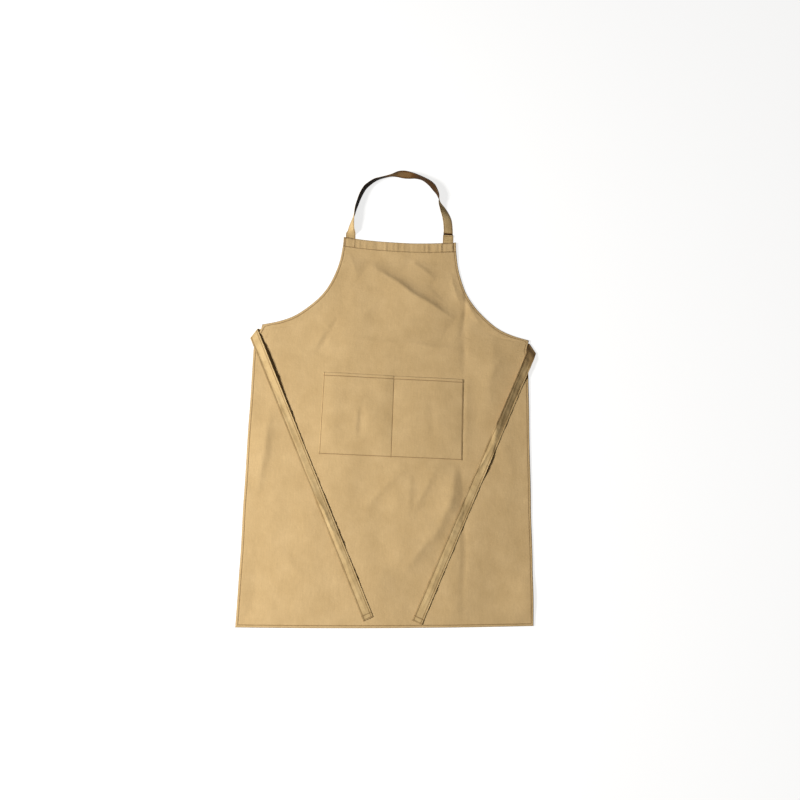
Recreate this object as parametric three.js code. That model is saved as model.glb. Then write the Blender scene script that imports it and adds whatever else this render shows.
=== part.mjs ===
// A bib apron of cotton twill, lying on its back with its ties brought round to the front.
// Millimetres. +X is to the viewer's right, +Y runs from the hem to the neck, +Z is up out of the cloth.
import * as THREE from "three";

// Cut sizes of the apron.
const apronLength = 918;
const skirtWidth = 660;
const bibTopWidth = 280;
const armholeDepth = 239;
const cornerInset = 7;
const edgeHemWidth = 8;
const topHemWidth = 27;

// Cut sizes of the pocket.
const pocketWidth = 335;
const pocketHeight = 195;
const pocketBase = 375;
const pocketOffset = -5;
const pocketGape = 5.6;

// Cut sizes of the neck strap, its tab and the ties.
const strapWidth = 23.5;
const strapLoopWidth = 0.85 * bibTopWidth;
const strapLoopHeight = 174;
const strapInsert = 21;
const tabWidth = 26;
const tabReach = 21;
const tieWidth = 23.5;
const tieDrop = 22;
const tieInsert = 30;
const tieFoldHeight = 4.4;
const tieFront = 711;

// Every piece is one layer of cloth, and layers that lie on each other keep a small gap.
const cloth = 1;
const clearance = 0.3;
const layer = cloth + clearance;

// How far the cloth takes to sink from a hem or an end that lies under it to the surface it rests on.
const sinkLength = 26;
const foldHeight = 4;
const hemSkew = 10;
const hemBow = 3;
const bibTopSkew = 2;
const bibTopSag = 8;
const armholeSag = 5;

// Facets along and across the pieces.
const skirtRows = 24;
const armholeRows = 13;
const panelColumns = 24;
const pocketRows = 10;
const pocketColumns = 16;
const strapSteps = 60;
const tieSteps = 40;

const skirtHalf = skirtWidth / 2;
const bibHalf = bibTopWidth / 2;
const waist = apronLength - armholeDepth;
const topHemLine = apronLength - topHemWidth;
const hemCornerLine = waist - edgeHemWidth;
const tieLine = waist - tieDrop;
const tieZoneLow = tieLine - tieWidth / 2 - edgeHemWidth / 2;

// The armhole's curve, from the bib's top corner down to the waist corner.
// down: share of the armhole's depth. out: share of the step from the bib's to the skirt's half width.
const armhole = [
  { down: 0, out: 0 },
  { down: 0.117, out: 0.008 },
  { down: 0.293, out: 0.043 },
  { down: 0.481, out: 0.124 },
  { down: 0.64, out: 0.24 },
  { down: 0.774, out: 0.402 },
  { down: 0.887, out: 0.59 },
  { down: 0.954, out: 0.785 },
  { down: 1, out: 1 },
];

// How the laid cloth strays to the side. up: share of the length. aside: share of the skirt's width.
const strays = [
  { up: 0, aside: 0 },
  { up: 0.15, aside: -0.002 },
  { up: 0.3, aside: -0.007 },
  { up: 0.5, aside: -0.012 },
  { up: 0.697, aside: -0.016 },
  { up: 0.74, aside: -0.003 },
  { up: 1, aside: -0.005 },
];

// The main folds and swells. across, up: the middle, as shares of the skirt's half width and of the length.
// turn: degrees from +X. long, wide: shares of the skirt's width. high: share of the fold height.
const folds = [
  { name: "bib crease", across: 0.09, up: 0.857, turn: -29, long: 0.17, wide: 0.024, high: 1 },
  { name: "bib corner crease", across: 0.16, up: 0.92, turn: -38, long: 0.05, wide: 0.02, high: 0.5 },
  { name: "left bib crease", across: -0.52, up: 0.72, turn: 63, long: 0.08, wide: 0.022, high: 0.6 },
  { name: "swell right of pocket", across: 0.44, up: 0.32, turn: 88, long: 0.1, wide: 0.04, high: 0.5 },
  { name: "swell under pocket", across: 0.04, up: 0.3, turn: 90, long: 0.06, wide: 0.035, high: 0.4 },
  { name: "low middle swell", across: 0.08, up: 0.168, turn: 60, long: 0.08, wide: 0.045, high: 0.6 },
  { name: "low left swell", across: -0.66, up: 0.139, turn: -49, long: 0.08, wide: 0.045, high: 0.6 },
  { name: "left side swell", across: -0.9, up: 0.44, turn: 84, long: 0.12, wide: 0.04, high: 0.7 },
  { name: "right side swell", across: 0.97, up: 0.07, turn: 80, long: 0.1, wide: 0.05, high: 0.9 },
];

// The neck strap's course from its left to its right end. across: share of the loop's half width.
// up: share of the loop's height above the bib. edge: turn of its width, 180 flat, 90 on edge.
const strapCourse = [
  { across: -1.065, up: 0.035, edge: 180 },
  { across: -1.063, up: 0.09, edge: 137 },
  { across: -1.056, up: 0.16, edge: 125 },
  { across: -1.036, up: 0.25, edge: 118 },
  { across: -1.01, up: 0.33, edge: 108 },
  { across: -0.992, up: 0.41, edge: 88 },
  { across: -0.966, up: 0.48, edge: 86 },
  { across: -0.909, up: 0.614, edge: 87 },
  { across: -0.838, up: 0.726, edge: 88 },
  { across: -0.769, up: 0.79, edge: 92 },
  { across: -0.645, up: 0.867, edge: 98 },
  { across: -0.513, up: 0.916, edge: 105 },
  { across: -0.373, up: 0.952, edge: 107 },
  { across: -0.253, up: 0.98, edge: 102 },
  { across: -0.13, up: 1, edge: 82 },
  { across: 0, up: 1.003, edge: 68 },
  { across: 0.125, up: 0.996, edge: 75 },
  { across: 0.25, up: 0.987, edge: 90 },
  { across: 0.4, up: 0.958, edge: 97 },
  { across: 0.549, up: 0.896, edge: 87 },
  { across: 0.641, up: 0.833, edge: 80 },
  { across: 0.706, up: 0.769, edge: 88 },
  { across: 0.753, up: 0.697, edge: 94 },
  { across: 0.77, up: 0.64, edge: 104 },
  { across: 0.798, up: 0.58, edge: 124 },
  { across: 0.86, up: 0.499, edge: 144 },
  { across: 0.918, up: 0.418, edge: 157 },
  { across: 0.954, up: 0.349, edge: 167 },
  { across: 0.971, up: 0.273, edge: 170 },
  { across: 0.98, up: 0.2, edge: 172 },
  { across: 0.982, up: 0.14, edge: 180 },
  { across: 0.982, up: 0.04, edge: 180 },
];

// The two ties. side: -1 left, 1 right. foldOut: how far the fold stands outside the skirt's side,
// as a share of the tie's width. lean: degrees that the tie slants from the waist's upright.
// front: length from the fold to the tip, as a share of the named length.
// slant: how far ahead the inner edge is in the table of heights, as a share of the front.
// Rows of heights. along: share of the front. inner, outer: the edges' rise, as shares of the tie's width.
const ties = [
  {
    side: -1, foldOut: 0.213, lean: 25.2, front: 1, slant: 0,
    heights: [
      { along: 0, inner: 0.34, outer: 0.34 },
      { along: 0.03, inner: 0.36, outer: 0.22 },
      { along: 0.08, inner: 0.4, outer: 0.06 },
      { along: 0.16, inner: 0.34, outer: 0.02 },
      { along: 0.26, inner: 0.22, outer: 0 },
      { along: 0.36, inner: 0.12, outer: 0 },
      { along: 0.48, inner: 0.05, outer: 0 },
      { along: 0.64, inner: 0.02, outer: 0.02 },
      { along: 0.72, inner: 0.06, outer: 0.01 },
      { along: 0.8, inner: 0.01, outer: 0.01 },
      { along: 1, inner: 0.02, outer: 0.02 },
    ],
  },
  {
    side: 1, foldOut: 0.319, lean: 22.3, front: 0.985, slant: 0.06,
    heights: [
      { along: 0, inner: 0.34, outer: 0.34 },
      { along: 0.04, inner: 0.42, outer: 0.26 },
      { along: 0.1, inner: 0.5, outer: 0.12 },
      { along: 0.18, inner: 0.48, outer: 0.06 },
      { along: 0.28, inner: 0.42, outer: 0.03 },
      { along: 0.34, inner: 0.36, outer: 0.06 },
      { along: 0.38, inner: 0.1, outer: 0.22 },
      { along: 0.43, inner: 0.04, outer: 0.2 },
      { along: 0.47, inner: 0.16, outer: 0.08 },
      { along: 0.52, inner: 0.02, outer: 0.1 },
      { along: 0.7, inner: 0, outer: 0.06 },
      { along: 1, inner: 0.01, outer: 0.02 },
    ],
  },
];

const radians = THREE.MathUtils.degToRad;
const clamp = THREE.MathUtils.clamp;

/** 0 below low, 1 above high and a smooth rise between. */
function rise(value, low, high) {
  return THREE.MathUtils.smoothstep(value, low, high);
}

/** 0 below low, 1 above high and a straight line between. */
function ramp(value, low, high) {
  return clamp((value - low) / (high - low), 0, 1);
}

/** Reads one column of a table of rows at a value of its key column, by a smooth step between rows. */
function read(rows, key, value, column) {
  const next = rows.findIndex((row) => row[key] >= value);
  if (next <= 0) return next === 0 ? rows[0][column] : rows[rows.length - 1][column];
  const low = rows[next - 1];
  const high = rows[next];
  return THREE.MathUtils.lerp(low[column], high[column], rise(value, low[key], high[key]));
}

const armholeCurve = new THREE.SplineCurve(
  armhole.map(({ down, out }) => new THREE.Vector2(
    THREE.MathUtils.lerp(bibHalf, skirtHalf - cornerInset, out),
    apronLength - armholeDepth * down,
  )),
);

/** The armhole's point and slope at the height v, by halving the curve's parameter. */
function armholeAt(v) {
  let low = 0;
  let high = 1;
  for (let i = 0; i < 30; i++) {
    const middle = (low + high) / 2;
    if (armholeCurve.getPoint(middle).y > v) low = middle;
    else high = middle;
  }
  return { u: armholeCurve.getPoint(low).x, tangent: armholeCurve.getTangent(low) };
}

/** Half the panel's width at the height v. */
function halfWidth(v) {
  if (v >= waist) return armholeAt(v).u;
  return skirtHalf - cornerInset * rise(v, tieZoneLow - sinkLength, hemCornerLine);
}

/** How far in from the edge, straight across, the hem's inner line lies at the height v. */
function hemInset(v) {
  if (v <= hemCornerLine) return edgeHemWidth;
  const { tangent } = armholeAt(Math.max(v, waist));
  const inset = edgeHemWidth / Math.abs(tangent.y);
  return THREE.MathUtils.lerp(edgeHemWidth, inset, ramp(v, hemCornerLine, waist));
}

/** The height of the folds at a point of the pattern. */
function foldsAt(u, v) {
  let height = 0;
  for (const fold of folds) {
    const du = u - fold.across * skirtHalf;
    const dv = v - fold.up * apronLength;
    const turn = radians(fold.turn);
    const along = (du * Math.cos(turn) + dv * Math.sin(turn)) / (fold.long * skirtWidth);
    const across = (dv * Math.cos(turn) - du * Math.sin(turn)) / (fold.wide * skirtWidth);
    if (Math.abs(along) < 1) {
      height += foldHeight * fold.high * (1 - along * along) ** 2 * Math.exp(-across * across);
    }
  }
  return height;
}

/** How high the panel's underside is held at a point of the pattern, by hems, ends and folds. */
function underside(u, v) {
  const inset = halfWidth(v) - Math.abs(u);
  const hem = hemInset(v);
  const side = 1 - ramp(inset, hem, hem + sinkLength);
  const bottom = 1 - ramp(v, edgeHemWidth, edgeHemWidth + sinkLength);
  const top = ramp(v, topHemLine - sinkLength, topHemLine);
  const tieEnd = tieInsert + edgeHemWidth;
  const tieReach = 1 - ramp(inset, tieEnd, tieEnd + sinkLength);
  const tieRise = ramp(v, tieZoneLow - sinkLength, tieZoneLow);
  const tieSpan = tieRise * (1 - ramp(v, hemCornerLine, waist + edgeHemWidth));
  const layers = Math.max(side, bottom, top) + Math.max(top, tieReach * tieSpan);
  return layers * layer + foldsAt(u, v);
}

/** Lays a point of the pattern on the surface: where it lies and the height of the panel's underside. */
function lay(u, v) {
  const up = v / apronLength;
  const low = 1 - ramp(v, 0, pocketBase);
  const high = ramp(v, waist, apronLength) ** 2;
  const pastTies = rise(v, tieZoneLow, waist + sinkLength);
  const beside = pastTies * (1 - rise(v, waist + 4 * sinkLength, topHemLine));
  const share = u / skirtHalf;
  const bibShare = u / bibHalf;
  return new THREE.Vector3(
    u + skirtWidth * read(strays, "up", up, "aside"),
    v + low ** 1.5 * (hemSkew * share - hemBow * (1 - share * share))
      + high * (bibTopSkew * bibShare - bibTopSag * Math.max(0, 1 - bibShare * bibShare))
      - beside * armholeSag * rise(share, 0, 1 / 2),
    underside(u, v),
  );
}

/** A closed mesh between two equal grids, each of rows from -Y to +Y with columns from -X to +X. */
function slabBetween(lower, upper) {
  const rows = lower.length;
  const columns = lower[0].length;
  const positions = [];
  const faces = [];
  for (const grid of [lower, upper]) {
    for (const row of grid) for (const point of row) positions.push(point.x, point.y, point.z);
  }
  const below = (r, c) => r * columns + c;
  const above = (r, c) => rows * columns + r * columns + c;
  const quad = (a, b, c, d) => faces.push(a, b, c, a, c, d);
  const endRow = rows - 1;
  const end = columns - 1;
  for (let r = 0; r < endRow; r++) {
    for (let c = 0; c < end; c++) {
      quad(above(r, c), above(r, c + 1), above(r + 1, c + 1), above(r + 1, c));
      quad(below(r, c), below(r + 1, c), below(r + 1, c + 1), below(r, c + 1));
    }
    quad(below(r, 0), above(r, 0), above(r + 1, 0), below(r + 1, 0));
    quad(below(r + 1, end), above(r + 1, end), above(r, end), below(r, end));
  }
  for (let c = 0; c < end; c++) {
    quad(below(0, c), below(0, c + 1), above(0, c + 1), above(0, c));
    quad(below(endRow, c + 1), below(endRow, c), above(endRow, c), above(endRow, c + 1));
  }
  const geometry = new THREE.BufferGeometry();
  geometry.setAttribute("position", new THREE.Float32BufferAttribute(positions, 3));
  geometry.setIndex(faces);
  geometry.computeVertexNormals();
  return geometry;
}

/** A layer of cloth whose underside is a grid of points, lowered by a number of layers. */
function layerOn(grid, layersDown = 0) {
  const raise = (p, distance) => new THREE.Vector3(p.x, p.y, p.z + distance);
  const move = (distance) => grid.map((row) => row.map((p) => raise(p, distance)));
  return slabBetween(move(-layersDown * layer), move(cloth - layersDown * layer));
}

/** A ribbon of cloth about a middle surface middle(s, w), with rows of s and columns of w. */
function ribbon(middle, rows, columns) {
  const small = 0.05;
  const sides = [[], []];
  for (const s of rows) {
    const row = [[], []];
    for (const w of columns) {
      const alongIt = middle(s + small, w).sub(middle(s - small, w));
      const acrossIt = middle(s, w + small).sub(middle(s, w - small));
      const normal = acrossIt.cross(alongIt).normalize();
      row[0].push(middle(s, w).addScaledVector(normal, -cloth / 2));
      row[1].push(middle(s, w).addScaledVector(normal, cloth / 2));
    }
    sides[0].push(row[0]);
    sides[1].push(row[1]);
  }
  return slabBetween(sides[0], sides[1]);
}

/** Even steps from one value to another, both included. */
function steps(from, to, count) {
  return Array.from({ length: count + 1 }, (_, i) => THREE.MathUtils.lerp(from, to, i / count));
}

// The panel's grid: its rows stand at the hems' lines, so that each hem is a strip of the same facets.
const skirtLines = steps(edgeHemWidth, tieZoneLow, skirtRows);
const armholeLines = steps(0, 1, armholeRows)
  .map((t) => armholeCurve.getPointAt(1 - t).y)
  .filter((v) => v < topHemLine - edgeHemWidth);
const topHemMiddle = (topHemLine + apronLength) / 2;
const panelLines = [0, ...skirtLines, hemCornerLine, ...armholeLines, topHemLine, topHemMiddle, apronLength];
const cornerRow = skirtLines.length + 1;
const topHemRow = cornerRow + armholeLines.length + 1;
const innerShares = steps(-1, 1, panelColumns);

/** The panel's columns at the height v: both hems' lines, the ends' reach and even steps between. */
function columnsAt(v) {
  const edge = halfWidth(v);
  const hem = edge - hemInset(v);
  const inner = hem - tieInsert;
  return [-edge, -hem, ...innerShares.map((share) => share * inner), hem, edge];
}

const panelGrid = panelLines.map((v) => columnsAt(v).map((u) => lay(u, v)));
const lastColumn = panelGrid[0].length - 1;

/** Part of the panel's grid, its first and last rows drawn in by the clearance where a neighbour ends. */
function strip([firstRow, lastRow], [firstColumn, endColumn], drawnIn) {
  const part = panelGrid
    .slice(firstRow, lastRow + 1)
    .map((row) => row.slice(firstColumn, endColumn + 1).map((p) => p.clone()));
  const draw = (row, towards) => row.forEach((p, i) => {
    p.lerp(towards[i], clearance / p.distanceTo(towards[i]));
  });
  if (drawnIn.first) draw(part[0], part[1]);
  if (drawnIn.last) draw(part[part.length - 1], part[part.length - 2]);
  return part;
}

/** The pocket: a patch that is seamed at its sides, bottom and middle and gapes a little at its mouth. */
function pocketGrid() {
  const left = pocketOffset - pocketWidth / 2;
  return steps(0, 1, pocketRows).map((up) => steps(0, 1, pocketColumns).map((across) => {
    const inCompartment = (across * 2) % 1;
    const crown = across === 1 ? 0 : 1 - Math.abs(2 * inCompartment - 1) ** 4;
    const depth = 1 - (1 - ramp(up, 0, 0.35)) ** 2;
    const height = layer + pocketGape * crown * depth;
    return new THREE.Vector3(left + pocketWidth * across, pocketBase + pocketHeight * up, height);
  }));
}

/** The neck strap's middle surface at a share s of its length and a distance w across it. */
function strapSurface() {
  const atEnd = (row, up) => new THREE.Vector3((row.across * strapLoopWidth) / 2, up, row.edge);
  const first = strapCourse[0];
  const points = [
    atEnd(first, apronLength - strapInsert),
    ...strapCourse.map((row) => new THREE.Vector3(
      (row.across * strapLoopWidth) / 2,
      apronLength + row.up * strapLoopHeight,
      row.edge,
    )),
  ];
  const course = new THREE.CatmullRomCurve3(points);
  const reach = (s) => clamp(s, 0, 1);
  return (s, w) => {
    const here = course.getPoint(reach(s));
    const ahead = course.getPoint(reach(s + 0.001)).sub(course.getPoint(reach(s - 0.001)));
    const outward = new THREE.Vector3(-ahead.y, ahead.x, 0).normalize();
    const edge = radians(Math.min(here.z, 180));
    const height = (strapWidth / 2) * Math.abs(Math.sin(edge)) + (cloth / 2) * Math.abs(Math.cos(edge));
    return new THREE.Vector3(here.x, here.y, height)
      .addScaledVector(outward, w * Math.cos(edge))
      .add(new THREE.Vector3(0, 0, w * Math.sin(edge)));
  };
}

/** The tab that shows above the bib's top edge, its upper end lying over the strap's end. */
function tabGrid() {
  const last = strapCourse[strapCourse.length - 1];
  const middle = (last.across * strapLoopWidth) / 2;
  const strapEnd = apronLength + last.up * strapLoopHeight;
  const lines = [
    apronLength - strapInsert,
    apronLength + bibTopSkew,
    strapEnd - clearance,
    apronLength + tabReach,
  ];
  return lines.map((y) => steps(-tabWidth / 2, tabWidth / 2, 2).map((x) => (
    new THREE.Vector3(middle + x, y, y < strapEnd - layer ? 0 : layer)
  )));
}

/** The lowest height that clears the panel around a point, or the resting surface beyond its edge. */
function clearAbove(x, y) {
  const reach = tieWidth * 0.7;
  let height = 0;
  for (const dx of [-reach, 0, reach]) {
    for (const dy of [-reach, 0, reach]) {
      const v = clamp(y + dy, 0, apronLength);
      const u = x + dx - skirtWidth * read(strays, "up", v / apronLength, "aside");
      if (Math.abs(u) < halfWidth(v) + edgeHemWidth) height = Math.max(height, underside(u, v) + layer);
    }
  }
  return height;
}

/** A tie's middle surface at the length s from its sewn end and the distance w across it. */
function tieSurface(tie) {
  const stray = skirtWidth * read(strays, "up", tieLine / apronLength, "aside") * tie.side;
  const sewnAt = skirtHalf - tieInsert + stray;
  const foldAt = skirtHalf + tie.foldOut * tieWidth + stray;
  const lean = radians(tie.lean);
  const radius = tieFoldHeight / 2;
  const lineWay = new THREE.Vector2(1 - Math.sin(lean), -Math.cos(lean)).normalize();
  const outward = new THREE.Vector2(-lineWay.y, lineWay.x);
  const start = new THREE.Vector2(foldAt, tieLine).addScaledVector(outward, -radius);
  const turnLength = Math.PI * radius;
  return (s, w) => {
    const flat = new THREE.Vector2(sewnAt + s, tieLine + w);
    const beyond = flat.clone().sub(start).dot(outward);
    const base = flat.clone().addScaledVector(outward, -beyond);
    let place = flat;
    let height = cloth / 2;
    if (beyond > turnLength) {
      place = base.clone().addScaledVector(outward, turnLength - beyond);
      const along = (s - (foldAt - sewnAt)) / (tie.front * tieFront);
      const ahead = along + tie.slant * (w / tieWidth - 0.5);
      const inner = read(tie.heights, "along", ahead, "inner") * tieWidth;
      const outer = read(tie.heights, "along", ahead, "outer") * tieWidth;
      const lifted = THREE.MathUtils.lerp(outer, inner, 0.5 + w / tieWidth) + cloth / 2;
      const lying = clearAbove(place.x * tie.side, place.y) + cloth / 2;
      const ontoPanel = rise(beyond, turnLength, turnLength + tieWidth);
      const resting = Math.max(lifted + layer, lying);
      height = THREE.MathUtils.lerp(height + tieFoldHeight, resting, ontoPanel);
    } else if (beyond > 0) {
      place = base.clone().addScaledVector(outward, radius * Math.sin(beyond / radius));
      height += radius * (1 - Math.cos(beyond / radius));
    }
    return new THREE.Vector3(place.x * tie.side, place.y, height);
  };
}

/** One tie as a folded ribbon, its rows slanted along the fold where it turns round the waist corner. */
function tieGeometry(tie) {
  const surface = tieSurface(tie);
  const lean = radians(tie.lean);
  const slope = -(1 - Math.sin(lean)) / Math.cos(lean);
  const toFold = tieInsert + tie.foldOut * tieWidth;
  const whole = toFold + tie.front * tieFront;
  const turn = Math.PI * tieFoldHeight / 2;
  const slanted = (s, w) => {
    const pastFold = rise(s, toFold + turn, toFold + turn + 2 * tieWidth);
    return surface(s + w * slope * rise(s, 0, toFold - turn) * (1 - pastFold), w);
  };
  const rows = [
    ...steps(0, toFold - turn / 2, 3),
    ...steps(toFold - turn / 2, toFold + turn / 2, 6).slice(1),
    ...steps(toFold + turn / 2, whole, tieSteps).slice(1),
  ];
  return ribbon(slanted, rows, steps(-tieWidth / 2, tieWidth / 2, 3));
}

/** Puts one named piece of cloth in a group, in its own colour. */
function addPiece(group, name, geometry, colour) {
  const material = new THREE.MeshStandardMaterial({ color: colour, roughness: 0.85, metalness: 0 });
  const piece = new THREE.Mesh(geometry, material);
  piece.name = name;
  group.add(piece);
}

const khaki = 0xc9ad78;
const hemKhaki = 0xc2a671;
const tapeKhaki = 0xcfb482;

const body = new THREE.Group();
addPiece(body, "apron_panel", layerOn(panelGrid), khaki);

const hems = new THREE.Group();
const allColumns = [0, lastColumn];
const topRows = [topHemRow, panelLines.length - 1];
addPiece(hems, "bottom_hem", layerOn(strip([0, 1], allColumns, {}), 1), hemKhaki);
addPiece(hems, "top_hem", layerOn(strip(topRows, allColumns, {}), 1), hemKhaki);
for (const [side, columns] of [["left", [0, 1]], ["right", [lastColumn - 1, lastColumn]]]) {
  const besideSkirt = strip([1, cornerRow], columns, { first: true, last: true });
  const besideBib = strip([cornerRow, topHemRow], columns, { last: true });
  addPiece(hems, side + "_side_hem", layerOn(besideSkirt, 1), hemKhaki);
  addPiece(hems, side + "_armhole_hem", layerOn(besideBib, 1), hemKhaki);
}
body.add(hems);
addPiece(body, "pocket", layerOn(pocketGrid()), khaki);

const fastenings = new THREE.Group();
const strapColumns = steps(-strapWidth / 2, strapWidth / 2, 2);
addPiece(fastenings, "neck_strap", ribbon(strapSurface(), steps(0, 1, strapSteps), strapColumns), tapeKhaki);
addPiece(fastenings, "right_strap_tab", layerOn(tabGrid()), tapeKhaki);
for (const tie of ties) {
  addPiece(fastenings, tie.side < 0 ? "left_tie" : "right_tie", tieGeometry(tie), tapeKhaki);
}

// The origin is the middle of the apron's box, on the surface that it lies on.
const apron = new THREE.Group();
apron.name = "bib_apron";
apron.add(body, fastenings);
const extent = new THREE.Box3().setFromObject(apron);
const middle = extent.getCenter(new THREE.Vector3());
body.position.set(-middle.x, -middle.y, -extent.min.z);
fastenings.position.copy(body.position);

export default apron;
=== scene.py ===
"""A khaki cotton bib apron, laid out on its back on a pale floor with its ties brought round to the front."""

import logging
import math
from dataclasses import dataclass
from enum import Enum
from typing import Any, NamedTuple, Optional, Sequence

import bpy
import numpy as np
from mathutils import Matrix, Vector


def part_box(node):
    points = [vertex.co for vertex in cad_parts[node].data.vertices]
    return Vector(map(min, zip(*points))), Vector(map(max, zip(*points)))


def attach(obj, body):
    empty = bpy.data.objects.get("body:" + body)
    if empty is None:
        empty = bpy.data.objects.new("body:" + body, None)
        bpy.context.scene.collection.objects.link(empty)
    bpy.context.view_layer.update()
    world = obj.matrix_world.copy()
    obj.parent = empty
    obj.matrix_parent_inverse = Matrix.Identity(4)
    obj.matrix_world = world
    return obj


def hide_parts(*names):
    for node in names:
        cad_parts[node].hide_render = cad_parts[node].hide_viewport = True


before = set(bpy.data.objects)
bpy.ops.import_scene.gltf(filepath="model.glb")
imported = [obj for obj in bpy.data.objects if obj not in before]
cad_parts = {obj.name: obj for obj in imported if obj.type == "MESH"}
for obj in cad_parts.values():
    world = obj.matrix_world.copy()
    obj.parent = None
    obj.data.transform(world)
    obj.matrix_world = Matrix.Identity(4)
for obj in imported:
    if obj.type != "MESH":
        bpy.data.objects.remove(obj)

LOG = logging.getLogger("bib_apron")
MM = 0.001
UPWARD = np.array([0.0, 0.0, 1.0])
Array = np.ndarray


class Side(Enum):
    """A side of the apron, as the viewer sees it from the front. Its value is the sign of x there."""

    LEFT = -1
    RIGHT = 1


class Weave(Enum):
    """How the twill's ribs run on a piece: the turn of its pattern, in degrees."""

    ALONG_THE_APRON = 63.0
    ALONG_THE_STRAP = 58.0


class Seed(Enum):
    """Which random waves a feature of the cloth has."""

    SWELL = 3
    RIPPLE = 5
    RUMPLE = 8
    HEM_PUCKER = 11
    HEM_DRAG = 12
    TOP_PUCKER = 14
    POCKET_SWELL = 21
    POCKET_RIPPLE = 22
    POCKET_PUCKER = 23
    TIE_CRUMPLE = 31
    TIE_BEND = 32
    STITCHES = 7


# The random waves' table: its cells a side, where it is first read, and what brings its blend to about 1.
WAVE_CELLS = 64
WAVE_START = (0.37, 0.61)
WAVE_GAIN = 1.4

# A crest's two bends, as shares of its length and turns along it, how bluntly it ends and how it falls.
CREST_BEND, CREST_BEND_TURNS = 0.008, 7
CREST_WAVER, CREST_WAVER_TURNS = 0.004, 17
CREST_ENDS = 0.8
CREST_FALL = 1.12

# A wave texture has 20 / (2 pi) bands a unit, so at this scale it has one.
ONE_BAND = math.pi / 10


def smooth(value: Array, low: float, high: float) -> Array:
    """Rises smoothly from 0 at low to 1 at high.

    Args:
        value: Where to read the step.
        low: The value below which it is 0.
        high: The value above which it is 1.

    Returns:
        The step, from 0 to 1.
    """
    share = np.clip((value - low) / (high - low), 0, 1)
    return share * share * (3 - 2 * share)


def ramp(value: Array, low: float, high: float) -> Array:
    """Rises along a straight line from 0 at low to 1 at high.

    Args:
        value: Where to read the ramp.
        low: The value below which it is 0.
        high: The value above which it is 1.

    Returns:
        The ramp, from 0 to 1.
    """
    return np.clip((value - low) / (high - low), 0, 1)


def read_column(keys: Sequence[float], column: Sequence[float], value: Array) -> Array:
    """Reads a column of a table at a value of its keys, with a smooth step between rows.

    Args:
        keys: The rows' keys, rising.
        column: The rows' values.
        value: Where to read.

    Returns:
        The column's value there.
    """
    keys, column = np.asarray(keys, float), np.asarray(column, float)
    place = np.clip(np.searchsorted(keys, value, side="left"), 1, len(keys) - 1)
    share = smooth((value - keys[place - 1]) / (keys[place] - keys[place - 1]), 0, 1)
    return column[place - 1] + (column[place] - column[place - 1]) * share


def drift(x: Array, y: Array, size: float, seed: Seed) -> Array:
    """Smooth random waves over a plane, the same each time.

    Args:
        x: Places along the plane's first axis.
        y: Places along its second axis.
        size: The waves' rough width, in the same unit.
        seed: Which waves.

    Returns:
        Heights from about -1 to 1.
    """
    table = np.random.default_rng(seed.value).uniform(-1, 1, (WAVE_CELLS, WAVE_CELLS))
    across = np.asarray(x / size, float) + WAVE_START[0]
    along = np.asarray(y / size, float) + WAVE_START[1]
    column, row = np.floor(across).astype(int), np.floor(along).astype(int)
    sx, sy = smooth(across - column, 0, 1), smooth(along - row, 0, 1)

    def corner(dc: int, dr: int) -> Array:
        """The table's value at a corner of each cell."""
        return table[(row + dr) % WAVE_CELLS, (column + dc) % WAVE_CELLS]

    low = corner(0, 0) * (1 - sx) + corner(1, 0) * sx
    high = corner(0, 1) * (1 - sx) + corner(1, 1) * sx
    return (low * (1 - sy) + high * sy) * WAVE_GAIN


def spline(points: Array, count: int) -> Array:
    """A smooth curve through points, as many places on it as asked for, evenly by parameter.

    Args:
        points: The points, one a row.
        count: How many places to return.

    Returns:
        The places, one a row.
    """
    last = len(points) - 1
    t = np.linspace(0, last, count)
    i = np.clip(np.floor(t).astype(int), 0, last - 1)
    f = (t - i)[:, None]
    p0, p1 = points[np.clip(i - 1, 0, last)], points[i]
    p2, p3 = points[i + 1], points[np.clip(i + 2, 0, last)]
    a, b = (p2 - p0) / 2, (p3 - p1) / 2
    return (2 * p1 - 2 * p2 + a + b) * f**3 + (3 * p2 - 3 * p1 - 2 * a - b) * f**2 + a * f + p1


def walked(points: Array) -> Array:
    """How far along a line through points each of them is, starting at 0."""
    return np.concatenate([[0], np.cumsum(np.linalg.norm(np.diff(points, axis=0), axis=1))])


class Fold(NamedTuple):
    """A main fold or swell of the skirt.

    Its middle is in shares of the skirt's half width and of the length, and its turn in degrees from +X.
    Its reach along and across itself is in shares of the skirt's width, high in shares of the fold height."""

    across: float
    up: float
    turn: float
    long: float
    wide: float
    high: float


class Crease(NamedTuple):
    """A crease between two points of a cloth, in mm: a crisp crest, or a pressed line where high is below 0.

    left and right are how far it falls away on either side of its course."""

    start: tuple[float, float]
    end: tuple[float, float]
    high: float
    left: float
    right: float


# The skirt's main folds: across, up, turn, long, wide and high.
FOLDS = (
    Fold(-0.52, 0.72, 63, 0.08, 0.022, 0.35),
    Fold(0.44, 0.32, 88, 0.1, 0.04, 0.5),
    Fold(0.04, 0.3, 90, 0.06, 0.035, 0.4),
    Fold(0.08, 0.168, 60, 0.08, 0.045, 0.6),
    Fold(-0.9, 0.44, 84, 0.12, 0.04, 0.7),
    Fold(0.97, 0.07, 80, 0.1, 0.05, 0.9),
)

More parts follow.
